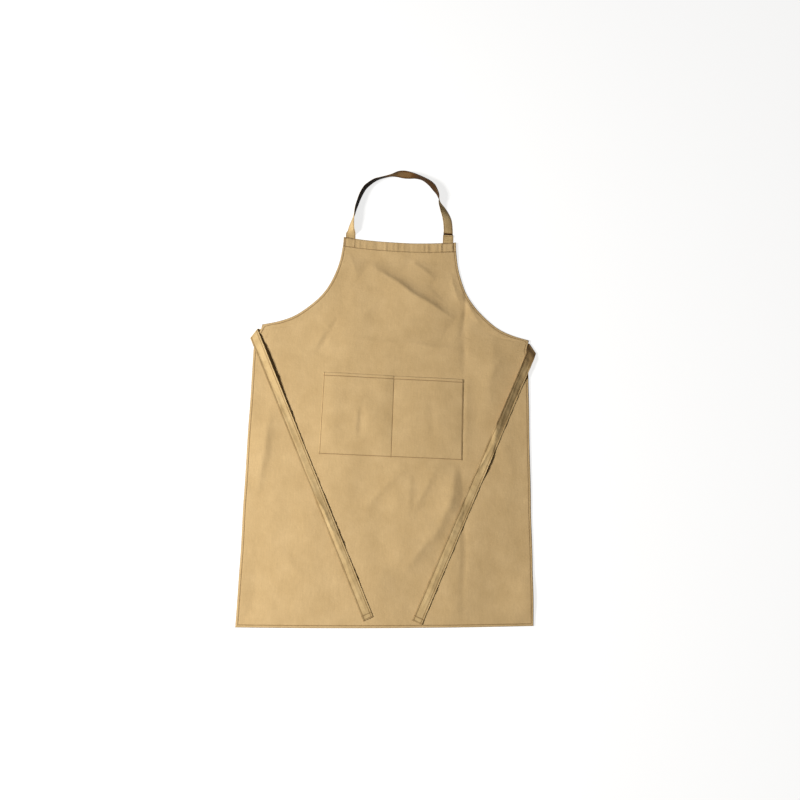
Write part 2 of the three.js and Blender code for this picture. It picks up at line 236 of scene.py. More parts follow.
# The panel's creases: start, end, high, left and right.
CREASES = (
    Crease((-78, 847), (136, 719), 8.6, 13, 75),
    Crease((26, 864), (88, 820), 3.4, 11, 26),
    Crease((60, 800), (120, 752), 1.2, 9, 14),
    Crease((-146, 710), (-194, 614), -2.8, 14, 4.5),
    Crease((-175, 676), (-150, 612), 0.8, 12, 9),
    Crease((161, 822), (163, 572), -3.0, 7, 6),
    Crease((164, 372), (170, 8), -2.0, 6, 4),
    Crease((-128, 659), (24, 652), 1.2, 5, 14),
    Crease((10, 653), (156, 645), 2.0, 5, 16),
    Crease((124, 838), (150, 752), 2.2, 8, 20),
    Crease((146, 790), (204, 706), 2.6, 9, 22),
    Crease((146, 366), (136, 244), 4.2, 13, 36),
    Crease((139, 290), (98, 182), 4.2, 14, 34),
    Crease((112, 218), (32, 118), 3.6, 14, 30),
    Crease((103, 362), (50, 244), 2.4, 8, 18),
    Crease((36, 360), (-72, 244), 2.4, 12, 24),
    Crease((44, 340), (38, 232), 1.6, 7, 12),
    Crease((-288, 480), (-304, 270), 3.0, 8, 26),
    Crease((-248, 162), (-182, 92), 1.0, 6, 14),
    Crease((246, 440), (290, 330), 1.5, 14, 16),
    Crease((262, 640), (214, 560), 1.6, 12, 18),
    Crease((-128, 872), (-96, 800), 1.4, 12, 14),
    Crease((-40, 780), (-96, 690), 1.1, 16, 14),
    Crease((240, 706), (218, 500), 3.0, 56, 34),
    Crease((167, 592), (168, 370), 1.6, 12, 3),
)


def creased(creases: Sequence[Crease], x: Array, y: Array) -> Array:
    """The height of a set of creases at points of a cloth.

    Args:
        creases: The creases.
        x: The points' first coordinates, in mm.
        y: Their second coordinates.

    Returns:
        The height in mm.
    """
    height = np.zeros_like(x)
    for crease in creases:
        (x0, y0), (x1, y1) = crease.start, crease.end
        reach = math.hypot(x1 - x0, y1 - y0)
        wx, wy = (x1 - x0) / reach, (y1 - y0) / reach
        along = ((x - x0) * wx + (y - y0) * wy) / reach
        bend = CREST_BEND * np.sin(along * CREST_BEND_TURNS + x0)
        bend = reach * (bend + CREST_WAVER * np.sin(along * CREST_WAVER_TURNS + y0))
        aside = (y - y0) * wx - (x - x0) * wy + bend
        fall = np.abs(aside) / np.where(aside > 0, crease.left, crease.right)
        ends = np.clip(4 * along * (1 - along), 0, 1) ** CREST_ENDS
        height += crease.high * ends * np.exp(-(fall**CREST_FALL))
    return height


@dataclass(frozen=True)
class ApronSizes:
    """The apron's cut sizes and how it is laid out, in mm, as its solids have them."""

    length: float = 918
    skirt_width: float = 660
    bib_top_width: float = 280
    armhole_depth: float = 239
    corner_inset: float = 7
    edge_hem: float = 8
    top_hem: float = 27
    pocket_width: float = 335
    pocket_height: float = 195
    pocket_base: float = 375
    pocket_offset: float = -5
    strap_width: float = 23.5
    strap_loop_width: float = 238
    strap_loop_height: float = 174
    strap_insert: float = 21
    tab_width: float = 26
    tab_reach: float = 21
    tie_width: float = 23.5
    tie_drop: float = 22
    tie_insert: float = 30
    tie_fold_height: float = 4.4
    cloth: float = 1.0
    clearance: float = 0.3
    sink: float = 26
    fold_height: float = 4
    hem_skew: float = 10
    hem_bow: float = 3
    bib_top_skew: float = 2
    bib_top_sag: float = 8
    armhole_sag: float = 5

    @property
    def layer(self) -> float:
        """One layer of cloth with the gap over it."""
        return self.cloth + self.clearance

    @property
    def waist(self) -> float:
        """The height of the waist corners."""
        return self.length - self.armhole_depth

    @property
    def top_hem_line(self) -> float:
        """The height of the top hem's lower edge."""
        return self.length - self.top_hem

    @property
    def tie_line(self) -> float:
        """The height of the ties' middle where they are sewn on."""
        return self.waist - self.tie_drop

    @property
    def tie_zone(self) -> float:
        """The height where the skirt's side starts to draw in below a tie."""
        return self.tie_line - self.tie_width / 2 - self.edge_hem / 2


@dataclass(frozen=True)
class Relief:
    """How the cloth rises and falls beside its placed folds and creases. All but the shares are in mm."""

    rest: float = 2.0
    swell: float = 1.2
    swell_width: float = 90
    ripple: float = 0.55
    ripple_width: float = 42
    rumple: float = 0.14
    rumple_width: float = 19
    share_at_edge: float = 0.4
    edge_reach: tuple[float, float] = (8, 40)
    pucker: float = 0.2
    pucker_width: float = 7.5
    pucker_reach: float = 8
    drag_share: float = 0.6
    drag_width: float = 17
    top_pucker: float = 0.5
    top_pucker_width: float = 5.5
    top_pucker_blend: float = 4
    top_calm: float = 0.7
    top_calm_reach: float = 8


# The armhole's curve from the bib's corner to the waist's, in shares of its depth and of its width.
ARMHOLE_DOWN = (0, 0.117, 0.293, 0.481, 0.64, 0.774, 0.887, 0.954, 1)
ARMHOLE_OUT = (0, 0.008, 0.043, 0.124, 0.24, 0.402, 0.59, 0.785, 1)
# How far the cloth's middle strays aside at a height, in shares of the length and of the skirt's width.
STRAY_UP = (0, 0.15, 0.3, 0.5, 0.697, 0.74, 1)
STRAY_ASIDE = (0, -0.002, -0.007, -0.012, -0.016, -0.003, -0.005)


@dataclass
class LaidCloth:
    """The apron's cloth as it lies: where each point of its cut pattern is, and how high."""

    sizes: ApronSizes
    relief: Relief
    armhole_points: int = 801
    search_steps: int = 4

    def __post_init__(self) -> None:
        """Works out the armhole's curve, and the way from the hem's middle to the row frame."""
        s = self.sizes
        half, bib = s.skirt_width / 2 - s.corner_inset, s.bib_top_width / 2
        out = bib + (half - bib) * np.asarray(ARMHOLE_OUT, float)
        down = s.length - s.armhole_depth * np.asarray(ARMHOLE_DOWN, float)
        curve = spline(np.stack([out, down], axis=1), self.armhole_points)[::-1]
        way = np.gradient(curve, axis=0)
        self.arm_u, self.arm_v = curve[:, 0], curve[:, 1]
        self.arm_steep = np.abs(way[:, 1]) / np.linalg.norm(way, axis=1)
        self.arm_along = walked(curve)
        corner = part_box("pocket")[0]
        left = s.pocket_offset - s.pocket_width / 2
        self.shift = np.array([corner.x / MM - left, corner.y / MM - s.pocket_base, 0.0])

    def half_width(self, v: Array) -> Array:
        """Half the cloth's width.

        Args:
            v: Heights on the pattern.

        Returns:
            Half the width at each, in mm.
        """
        s = self.sizes
        skirt = s.skirt_width / 2 - s.corner_inset * smooth(v, s.tie_zone - s.sink, s.waist - s.edge_hem)
        return np.where(v >= s.waist, np.interp(v, self.arm_v, self.arm_u), skirt)

    def steepness(self, v: Array) -> Array:
        """How steeply the cloth's side edge runs.

        Args:
            v: Heights on the pattern.

        Returns:
            1 where it is upright, towards 0 where it is level.
        """
        s = self.sizes
        armhole = np.interp(np.maximum(v, s.waist), self.arm_v, self.arm_steep)
        return 1 + (armhole - 1) * ramp(v, s.waist - s.edge_hem, s.waist)

    def edge_distance(self, u: Array, v: Array) -> Array:
        """How far a point is from the nearest side or bottom edge of the cut, in mm."""
        side = (self.half_width(v) - np.abs(u)) * self.steepness(v)
        return np.minimum(side, v)

    def place(self, u: Array, v: Array) -> tuple[Array, Array]:
        """Where a point of the pattern lies, in mm from the hem's middle.

        Args:
            u: Across the pattern.
            v: Up the pattern.

        Returns:
            x and y.
        """
        s = self.sizes
        up = v / s.length
        low = 1 - ramp(v, 0, s.pocket_base)
        high = ramp(v, s.waist, s.length) ** 2
        beside = smooth(v, s.tie_zone, s.waist + s.sink)
        beside = beside * (1 - smooth(v, s.waist + 4 * s.sink, s.top_hem_line))
        share, bib_share = u / (s.skirt_width / 2), u / (s.bib_top_width / 2)
        x = u + s.skirt_width * read_column(STRAY_UP, STRAY_ASIDE, up)
        y = (
            v
            + low**1.5 * (s.hem_skew * share - s.hem_bow * (1 - share**2))
            + high * (s.bib_top_skew * bib_share - s.bib_top_sag * np.maximum(0, 1 - bib_share**2))
            - beside * s.armhole_sag * smooth(share, 0, 0.5)
        )
        return x, y

    def pattern(self, x: Array, y: Array) -> tuple[Array, Array]:
        """The point of the pattern that lies at a place, found by going back and forth a few times.

        Args:
            x: Across, in mm from the hem's middle.
            y: Up.

        Returns:
            u and v.
        """
        u, v = np.array(x, float), np.array(y, float)
        for _ in range(self.search_steps):
            px, py = self.place(u, np.clip(v, 0, self.sizes.length))
            u, v = u + (x - px), v + (y - py)
        return u, v

    def folds(self, u: Array, v: Array) -> Array:
        """The height of the folds, creases, puckers and waves at a point of the pattern.

        Args:
            u: Across the pattern.
            v: Up the pattern.

        Returns:
            The height in mm.
        """
        s, r = self.sizes, self.relief
        height = np.zeros_like(u)
        for fold in FOLDS:
            du, dv = u - fold.across * s.skirt_width / 2, v - fold.up * s.length
            turn = math.radians(fold.turn)
            along = (du * math.cos(turn) + dv * math.sin(turn)) / (fold.long * s.skirt_width)
            across = (dv * math.cos(turn) - du * math.sin(turn)) / (fold.wide * s.skirt_width)
            height += s.fold_height * fold.high * np.clip(1 - along**2, 0, 1) ** 2 * np.exp(-(across**2))
        height += creased(CREASES, *self.place(u, v))
        edge = self.edge_distance(u, v)
        waves = r.swell * drift(u, v / 2, r.swell_width, Seed.SWELL)
        waves += r.ripple * drift(u, v / 1.6, r.ripple_width, Seed.RIPPLE)
        waves += r.rumple * drift(u + v / 2, v - u / 2, r.rumple_width, Seed.RUMPLE)
        height += r.rest + waves * (r.share_at_edge + (1 - r.share_at_edge) * smooth(edge, *r.edge_reach))
        along_edge = np.where(v < s.edge_hem * 3, u, v)
        pucker = drift(along_edge, edge / 3, r.pucker_width, Seed.HEM_PUCKER)
        pucker += r.drag_share * drift(along_edge, edge / 3, r.drag_width, Seed.HEM_DRAG)
        height += r.pucker * pucker * np.exp(-(((edge - s.edge_hem) / r.pucker_reach) ** 2))
        in_top = smooth(v, s.top_hem_line - r.top_pucker_blend, s.top_hem_line + r.top_pucker_blend)
        calm = 1 - r.top_calm * smooth(v, s.length - r.top_calm_reach, s.length)
        height += r.top_pucker * drift(u, v / 6, r.top_pucker_width, Seed.TOP_PUCKER) * in_top * calm
        return np.maximum(height, 0)

    def underside(self, u: Array, v: Array) -> Array:
        """The cloth's underside, raised by the hems and ties that lie below it.

        Args:
            u: Across the pattern.
            v: Up the pattern.

        Returns:
            The height in mm.
        """
        s = self.sizes
        inset = self.half_width(v) - np.abs(u)
        hem = s.edge_hem / self.steepness(v)
        side = 1 - ramp(inset, hem, hem + s.sink)
        bottom = 1 - ramp(v, s.edge_hem, s.edge_hem + s.sink)
        top = ramp(v, s.top_hem_line - s.sink, s.top_hem_line)
        reach = s.tie_insert + s.edge_hem
        tie = (1 - ramp(inset, reach, reach + s.sink)) * ramp(v, s.tie_zone - s.sink, s.tie_zone)
        tie = tie * (1 - ramp(v, s.waist - s.edge_hem, s.waist + s.edge_hem))
        layers = np.maximum(np.maximum(side, bottom), top) + np.maximum(top, tie)
        return layers * s.layer + self.folds(u, v)

    def row_frame(self, x: Array, y: Array, z: Array) -> Array:
        """Points in mm from the hem's middle, as points of the row frame in metres."""
        return (np.stack(np.broadcast_arrays(x, y, z), axis=-1) + self.shift) * MM

    def flat_path(self, x: Array, y: Array, z: Array) -> tuple[Array, Array]:
        """A row of stitches through points in mm, as points in metres and the upward way at each."""
        points = self.row_frame(x, y, z)
        return points, np.tile(UPWARD, (len(points), 1))


def linear(code: str, alpha: float = 1.0) -> tuple[float, float, float, float]:
    """Turns an sRGB hex colour into a linear one.

    Args:
        code: Six hex digits.
        alpha: The opacity to add.

    Returns:
        Red, green, blue and alpha.
    """
    parts = [int(code[i : i + 2], 16) / 255 for i in (0, 2, 4)]
    red, green, blue = [c / 12.92 if c <= 0.04045 else ((c + 0.055) / 1.055) ** 2.4 for c in parts]
    return red, green, blue, alpha


def add(
    tree: bpy.types.NodeTree, kind: str, settings: Optional[dict] = None, links: Optional[dict] = None
) -> bpy.types.Node:
    """Adds a node with its settings and links.

    Args:
        tree: The tree to add to.
        kind: The node's type.
        settings: Values by name: of an input socket where the name or number is one, otherwise of the node.
        links: Output sockets by the name or number of the input that they go to.

    Returns:
        The new node.
    """
    node = tree.nodes.new(kind)
    for name, value in (settings or {}).items():
        if isinstance(name, str) and hasattr(node, name):
            setattr(node, name, value)
    for name, value in (settings or {}).items():
        if not (isinstance(name, str) and hasattr(node, name)):
            node.inputs[name].default_value = value
    for name, socket in (links or {}).items():
        tree.links.new(socket, node.inputs[name])
    return node


def new_material(name: str) -> tuple[bpy.types.Material, bpy.types.NodeTree]:
    """An empty node material and its tree.

    Args:
        name: The material's name.

    Returns:
        The material and its tree.
    """
    material = bpy.data.materials.new(name)
    material.use_nodes = True
    material.node_tree.nodes.clear()
    return material, material.node_tree


@dataclass(frozen=True)
class TwillFinish:
    """Piece-dyed cotton twill, washed once: matt, with a faint diagonal rib, small slubs and crumples.

    The dye takes a little unevenly, which gives the eye soft mottling and faint streaks along the threads.
    Painted shadow darkens the stitched lines and cut edges, and painted shade the sides turned from the light.
    Each stitched seam holds a dark line. The real ribs and threads are about half a millimetre apart. The
    ribs are drawn about 1 mm apart and the slubs a few mm long, because finer ones wouldn't show. A size in
    mm is the width of one rib or of one cell of a pattern. A tone is how much a pattern lightens the cloth."""

    name: str
    colour: str = "BB9E70"
    deep: str = "B5986A"
    pale: str = "C1A476"
    # The last three colours are painted shade over the dye: the first for the shadow along stitched lines and
    # cut edges, the darker two where a strap's or tie's side is turned from the light.
    seam: str = "6E5230"
    shade: str = "5A3A17"
    deepest_painted_shade: str = "140D06"
    weave: Weave = Weave.ALONG_THE_APRON
    rib_mm: float = 1.1
    slub_mm: float = 3.333
    streak_mm: tuple[float, float] = (2.222, 28.57)
    crumple_mm: float = 10
    mottle_mm: float = 55.56
    mottle_ends: tuple[float, float] = (0.3, 0.7)
    base_tone: float = 0.8
    slub_tone: float = 0.22
    rib_tone: float = 0.08
    streak_tone: float = 0.16
    seam_start_mm: float = 0.35
    seam_half_mm: float = 0.8
    seam_wander_mm: float = 0.7
    seam_strength: float = 0.75
    crumple_depth_mm: float = 1.1
    thread_depth_mm: float = 0.09
    seam_depth_mm: float = 0.35
    slub_height: float = 0.8
    roughness: tuple[float, float] = (0.82, 0.96)
    sheen: float = 0.08
    sheen_roughness: float = 0.6
    specular: float = 0.2
    ior: float = 1.45

    def patterns(self, tree: bpy.types.NodeTree) -> dict[str, bpy.types.NodeSocket]:
        """Adds the cloth's patterns, each at its size on the flat cut.

        Args:
            tree: The material's tree.

        Returns:
            Each pattern's strength from 0 to 1, by its name.
        """
        cut = add(tree, "ShaderNodeUVMap", {"uv_map": "Cut"}).outputs[0]
        in_mm = add(tree, "ShaderNodeMapping", {"Scale": (1 / MM,) * 3}, {0: cut}).outputs[0]
        turned = {"Rotation": (0, 0, math.radians(self.weave.value)), "Scale": (1 / self.rib_mm,) * 3}
        in_ribs = add(tree, "ShaderNodeMapping", turned, {0: in_mm}).outputs[0]
        stretched = {"Scale": (1 / self.streak_mm[0], 1 / self.streak_mm[1], 1)}
        in_streaks = add(tree, "ShaderNodeMapping", stretched, {0: in_mm}).outputs[0]
        uneven = {"Distortion": 0.6, "Detail": 2.0, "Detail Scale": 1.6}
        wave = {"bands_direction": "X", "Scale": ONE_BAND, **uneven}
        found = {"rib": add(tree, "ShaderNodeTexWave", wave, {0: in_ribs}).outputs["Fac"]}
        for name, place, size, detail, roughness in (
            ("mottle", in_mm, self.mottle_mm, 5.0, 0.62),
            ("crumple", in_mm, self.crumple_mm, 5.0, 0.62),
            ("slub", in_mm, self.slub_mm, 4.0, 0.75),
            ("streak", in_streaks, 1.0, 2.0, 0.5),
        ):
            noise = {"Scale": 1 / size, "Detail": detail, "Roughness": roughness}
            found[name] = add(tree, "ShaderNodeTexNoise", noise, {0: place}).outputs["Fac"]
        return found

    def groove(self, tree: bpy.types.NodeTree, slub: bpy.types.NodeSocket) -> bpy.types.NodeSocket:
        """Adds the painted shadow that a stitched line or an edge holds, a little uneven along it.

        Args:
            tree: The material's tree.
            slub: The slubs' strength.

        Returns:
            The shadow's strength.
        """
        from_seam = add(tree, "ShaderNodeAttribute", {"attribute_name": "seam_mm"}).outputs["Fac"]
        wander = {"operation": "MULTIPLY_ADD", 1: self.seam_wander_mm}
        distance = add(tree, "ShaderNodeMath", wander, {0: slub, 2: from_seam}).outputs[0]
        fading = {
            "interpolation_type": "SMOOTHSTEP",
            "From Min": self.seam_start_mm,
            "From Max": self.seam_start_mm + 2 * self.seam_half_mm,
            "To Min": self.seam_strength,
            "To Max": 0.0,
        }
        return add(tree, "ShaderNodeMapRange", fading, {0: distance}).outputs[0]

    def colours(
        self, tree: bpy.types.NodeTree, found: dict[str, bpy.types.NodeSocket], groove: bpy.types.NodeSocket
    ) -> bpy.types.NodeSocket:
        """Adds the dye's colours, with the seams' and the turned sides' painted shade over them.

        Args:
            tree: The material's tree.
            found: The patterns by name.
            groove: The seams' shadow.

        Returns:
            The colour.
        """
        dye = add(tree, "ShaderNodeValToRGB", {}, {0: found["mottle"]})
        ends = dye.color_ramp.elements
        ends[0].position, ends[1].position = self.mottle_ends
        ends[0].color, ends[1].color = linear(self.deep), linear(self.pale)
        ends.new(0.5).color = linear(self.colour)
        base = {"operation": "MULTIPLY_ADD", 1: self.slub_tone, 2: self.base_tone}
        tone = add(tree, "ShaderNodeMath", base, {0: found["slub"]}).outputs[0]
        for name, strength in (("rib", self.rib_tone), ("streak", self.streak_tone)):
            more = {"operation": "MULTIPLY_ADD", 1: strength}
            tone = add(tree, "ShaderNodeMath", more, {0: found[name], 2: tone}).outputs[0]
        scaled = {0: dye.outputs[0], 3: tone}
        colour = add(tree, "ShaderNodeVectorMath", {"operation": "SCALE"}, scaled).outputs[0]
        depth = add(tree, "ShaderNodeAttribute", {"attribute_name": "deep_shade"}).outputs["Fac"]
        past_one = add(tree, "ShaderNodeMath", {"operation": "SUBTRACT", 1: 1.0}, {0: depth}).outputs[0]
        # Painted shade over the dye: the seam colour for the shadow along stitched lines and edges, then the
        # two shade colours where deep_shade is set.
        for share, code in ((groove, self.seam), (depth, self.shade), (past_one, self.deepest_painted_shade)):
            over = {"data_type": "RGBA", 7: linear(code)}
            colour = add(tree, "ShaderNodeMix", over, {0: share, 6: colour}).outputs[2]
        return colour

    def normals(
        self, tree: bpy.types.NodeTree, found: dict[str, bpy.types.NodeSocket], groove: bpy.types.NodeSocket
    ) -> bpy.types.NodeSocket:
        """Adds the relief of the crumples, of the ribs and slubs, and of the stitched lines.

        Args:
            tree: The material's tree.
            found: The patterns by name.
            groove: The seams' shadow, which is also how deep they are pressed.

        Returns:
            The bumped normal.
        """
        twilled = {"operation": "MULTIPLY_ADD", 1: self.slub_height}
        thread = add(tree, "ShaderNodeMath", twilled, {0: found["slub"], 2: found["rib"]}).outputs[0]
        sunk = add(tree, "ShaderNodeMath", {"operation": "MULTIPLY", 1: -1.0}, {0: groove}).outputs[0]
        under = {}
        for height, strength, depth in (
            (found["crumple"], 0.6, self.crumple_depth_mm),
            (thread, 0.45, self.thread_depth_mm),
            (sunk, 0.6, self.seam_depth_mm),
        ):
            bump = {"Strength": strength, "Distance": depth * MM}
            under = {"Normal": add(tree, "ShaderNodeBump", bump, {"Height": height, **under}).outputs[0]}
        return under["Normal"]

    def build(self) -> bpy.types.Material:
        """Makes the material.

        Returns:
            The material.
        """
        material, tree = new_material(self.name)
        found = self.patterns(tree)
        groove = self.groove(tree, found["slub"])
        limits = {"To Min": self.roughness[0], "To Max": self.roughness[1]}
        rough = add(tree, "ShaderNodeMapRange", limits, {0: found["slub"]}).outputs[0]
        shader = add(
            tree,
            "ShaderNodeBsdfPrincipled",
            {
                "Sheen Weight": self.sheen,
                "Sheen Roughness": self.sheen_roughness,
                "IOR": self.ior,
                "Specular IOR Level": self.specular,
            },
            {
                "Base Color": self.colours(tree, found, groove),
                "Roughness": rough,
                "Normal": self.normals(tree, found, groove),
            },
        )
        add(tree, "ShaderNodeOutputMaterial", {}, {0: shader.outputs[0]})
        return material


@dataclass(frozen=True)
class ThreadFinish:
    """Spun polyester sewing thread, a little darker than the cloth: a soft gloss broken up by its fine twist.

    The twist is drawn about twice as coarse as the real one, which wouldn't show."""

    name: str = "spun_polyester_thread"
    colour: str = "A78758"
    deep: str = "8F7146"
    twist_mm: float = 0.714
    twist_depth_mm: float = 0.08
    twist_strength: float = 0.4
    roughness: float = 0.55
    specular: float = 0.35
    ior: float = 1.5

    def build(self) -> bpy.types.Material:
        """Makes the material.

        Returns:
            The material.
        """
        material, tree = new_material(self.name)
        place = add(tree, "ShaderNodeTexCoord").outputs["Object"]
        in_twists = {"Scale": 1 / (self.twist_mm * MM), "Detail": 2.0}
        twist = add(tree, "ShaderNodeTexNoise", in_twists, {0: place}).outputs["Fac"]
        dye = {"data_type": "RGBA", 6: linear(self.deep), 7: linear(self.colour)}
        colour = add(tree, "ShaderNodeMix", dye, {0: twist}).outputs[2]
        relief = {"Strength": self.twist_strength, "Distance": self.twist_depth_mm * MM}
        bump = add(tree, "ShaderNodeBump", relief, {"Height": twist}).outputs[0]
        shader = add(
            tree,
            "ShaderNodeBsdfPrincipled",
            {"Roughness": self.roughness, "Specular IOR Level": self.specular, "IOR": self.ior},
            {"Base Color": colour, "Normal": bump},
        )
        add(tree, "ShaderNodeOutputMaterial", {}, {0: shader.outputs[0]})
        return material


@dataclass(frozen=True)
class FloorFinish:
    """Matt white acrylic sheet, lit from beneath as a light table is, so that shadows on it stay faint."""

    name: str = "white_light_table"
    colour: str = "8F8E8C"
    light: str = "FFFFFF"
    glow: float = 0.8
    uneven_mm: float = 333
    roughness: tuple[float, float] = (0.85, 0.95)
    specular: float = 0.1

    def build(self) -> bpy.types.Material:
        """Makes the material.

        Returns:
            The material.
        """
        material, tree = new_material(self.name)
        place = add(tree, "ShaderNodeTexCoord").outputs["Object"]
        patches = {"Scale": 1 / (self.uneven_mm * MM), "Detail": 3.0}
        uneven = add(tree, "ShaderNodeTexNoise", patches, {0: place}).outputs["Fac"]
        limits = {"To Min": self.roughness[0], "To Max": self.roughness[1]}
        rough = add(tree, "ShaderNodeMapRange", limits, {0: uneven}).outputs[0]
        shader = add(
            tree,
            "ShaderNodeBsdfPrincipled",
            {
                "Base Color": linear(self.colour),
                "Specular IOR Level": self.specular,
                "Emission Color": linear(self.light),
                "Emission Strength": self.glow,
            },
            {"Roughness": rough},
        )
        add(tree, "ShaderNodeOutputMaterial", {}, {0: shader.outputs[0]})
        return material


@dataclass
class Finishes:
    """The materials that the pieces share."""

    body: bpy.types.Material
    tape: bpy.types.Material
    thread: bpy.types.Material


def placed(name: str, data: bpy.types.ID) -> bpy.types.Object:
    """Puts a mesh, a light or a camera into the scene as an object.

    Args:
        name: The object's name.
        data: What it holds.

    Returns:
        The object.
    """
    made = bpy.data.objects.new(name, data)
    bpy.context.scene.collection.objects.link(made)
    return made


def closed_slab(
    name: str,
    lower: Array,
    upper: Array,
    cut: Array,
    seam: Array,
    material: bpy.types.Material,
    shade: Optional[tuple[Array, Array]] = None,
) -> bpy.types.Object:
    """A closed piece of cloth between two equal grids of points.

    Args:
        name: The object's name.
        lower: The underside's points in metres, rows by columns by 3.
        upper: The upper side's points.
        cut: Each point's place on the flat cut in metres, rows by columns by 2.
        seam: Each point's distance from the nearest stitched line, in mm.
        material: Its material.
        shade: How deep the painted shade is at each point of the underside and of the upper side, 0 to 2.

    Returns:
        The object.
    """
    rows, columns = lower.shape[:2]
    below = np.arange(rows * columns).reshape(rows, columns)
    above = below + rows * columns

    def quads(grid: Array, flip: bool) -> Array:
        """The faces of one grid, turned over where flip is true."""
        corners = [grid[:-1, :-1], grid[:-1, 1:], grid[1:, 1:], grid[1:, :-1]]
        return np.stack(corners[::-1] if flip else corners, axis=-1).reshape(-1, 4)

    def wall(low: Array, high: Array) -> Array:
        """The faces between two matching edges of the grids."""
        return np.stack([low[:-1], low[1:], high[1:], high[:-1]], axis=-1)

    faces = np.concatenate(
        [
            quads(above, False),
            quads(below, True),
            wall(below[0], above[0]),
            wall(below[-1][::-1], above[-1][::-1]),
            wall(below[:, 0][::-1], above[:, 0][::-1]),
            wall(below[:, -1], above[:, -1]),
        ]
    )
    points = np.concatenate([lower.reshape(-1, 3), upper.reshape(-1, 3)])
    mesh = bpy.data.meshes.new(name)
    mesh.from_pydata(points.tolist(), [], faces.tolist())
    flat = np.concatenate([cut.reshape(-1, 2)] * 2)
    corners = np.empty(len(mesh.loops), np.int32)
    mesh.loops.foreach_get("vertex_index", corners)
    mesh.uv_layers.new(name="Cut").data.foreach_set("uv", flat[corners].astype(np.float32).ravel())
    marks = {"seam_mm": (seam, seam)}
    if shade is not None:
        marks["deep_shade"] = shade
    for mark, sides in marks.items():
        values = np.concatenate([side.ravel() for side in sides]).astype(np.float32)
        mesh.attributes.new(mark, "FLOAT", "POINT").data.foreach_set("value", values)
    mesh.materials.append(material)
    mesh.shade_smooth()
    mesh.update()
    return placed(name, mesh)


def spread(*stretches: tuple[float, float, int]) -> Array:
    """Places along a line: each stretch is (from, to, steps), and stretches that meet share their place."""
    return np.unique(np.concatenate([np.linspace(a, b, n + 1) for a, b, n in stretches]).round(5))


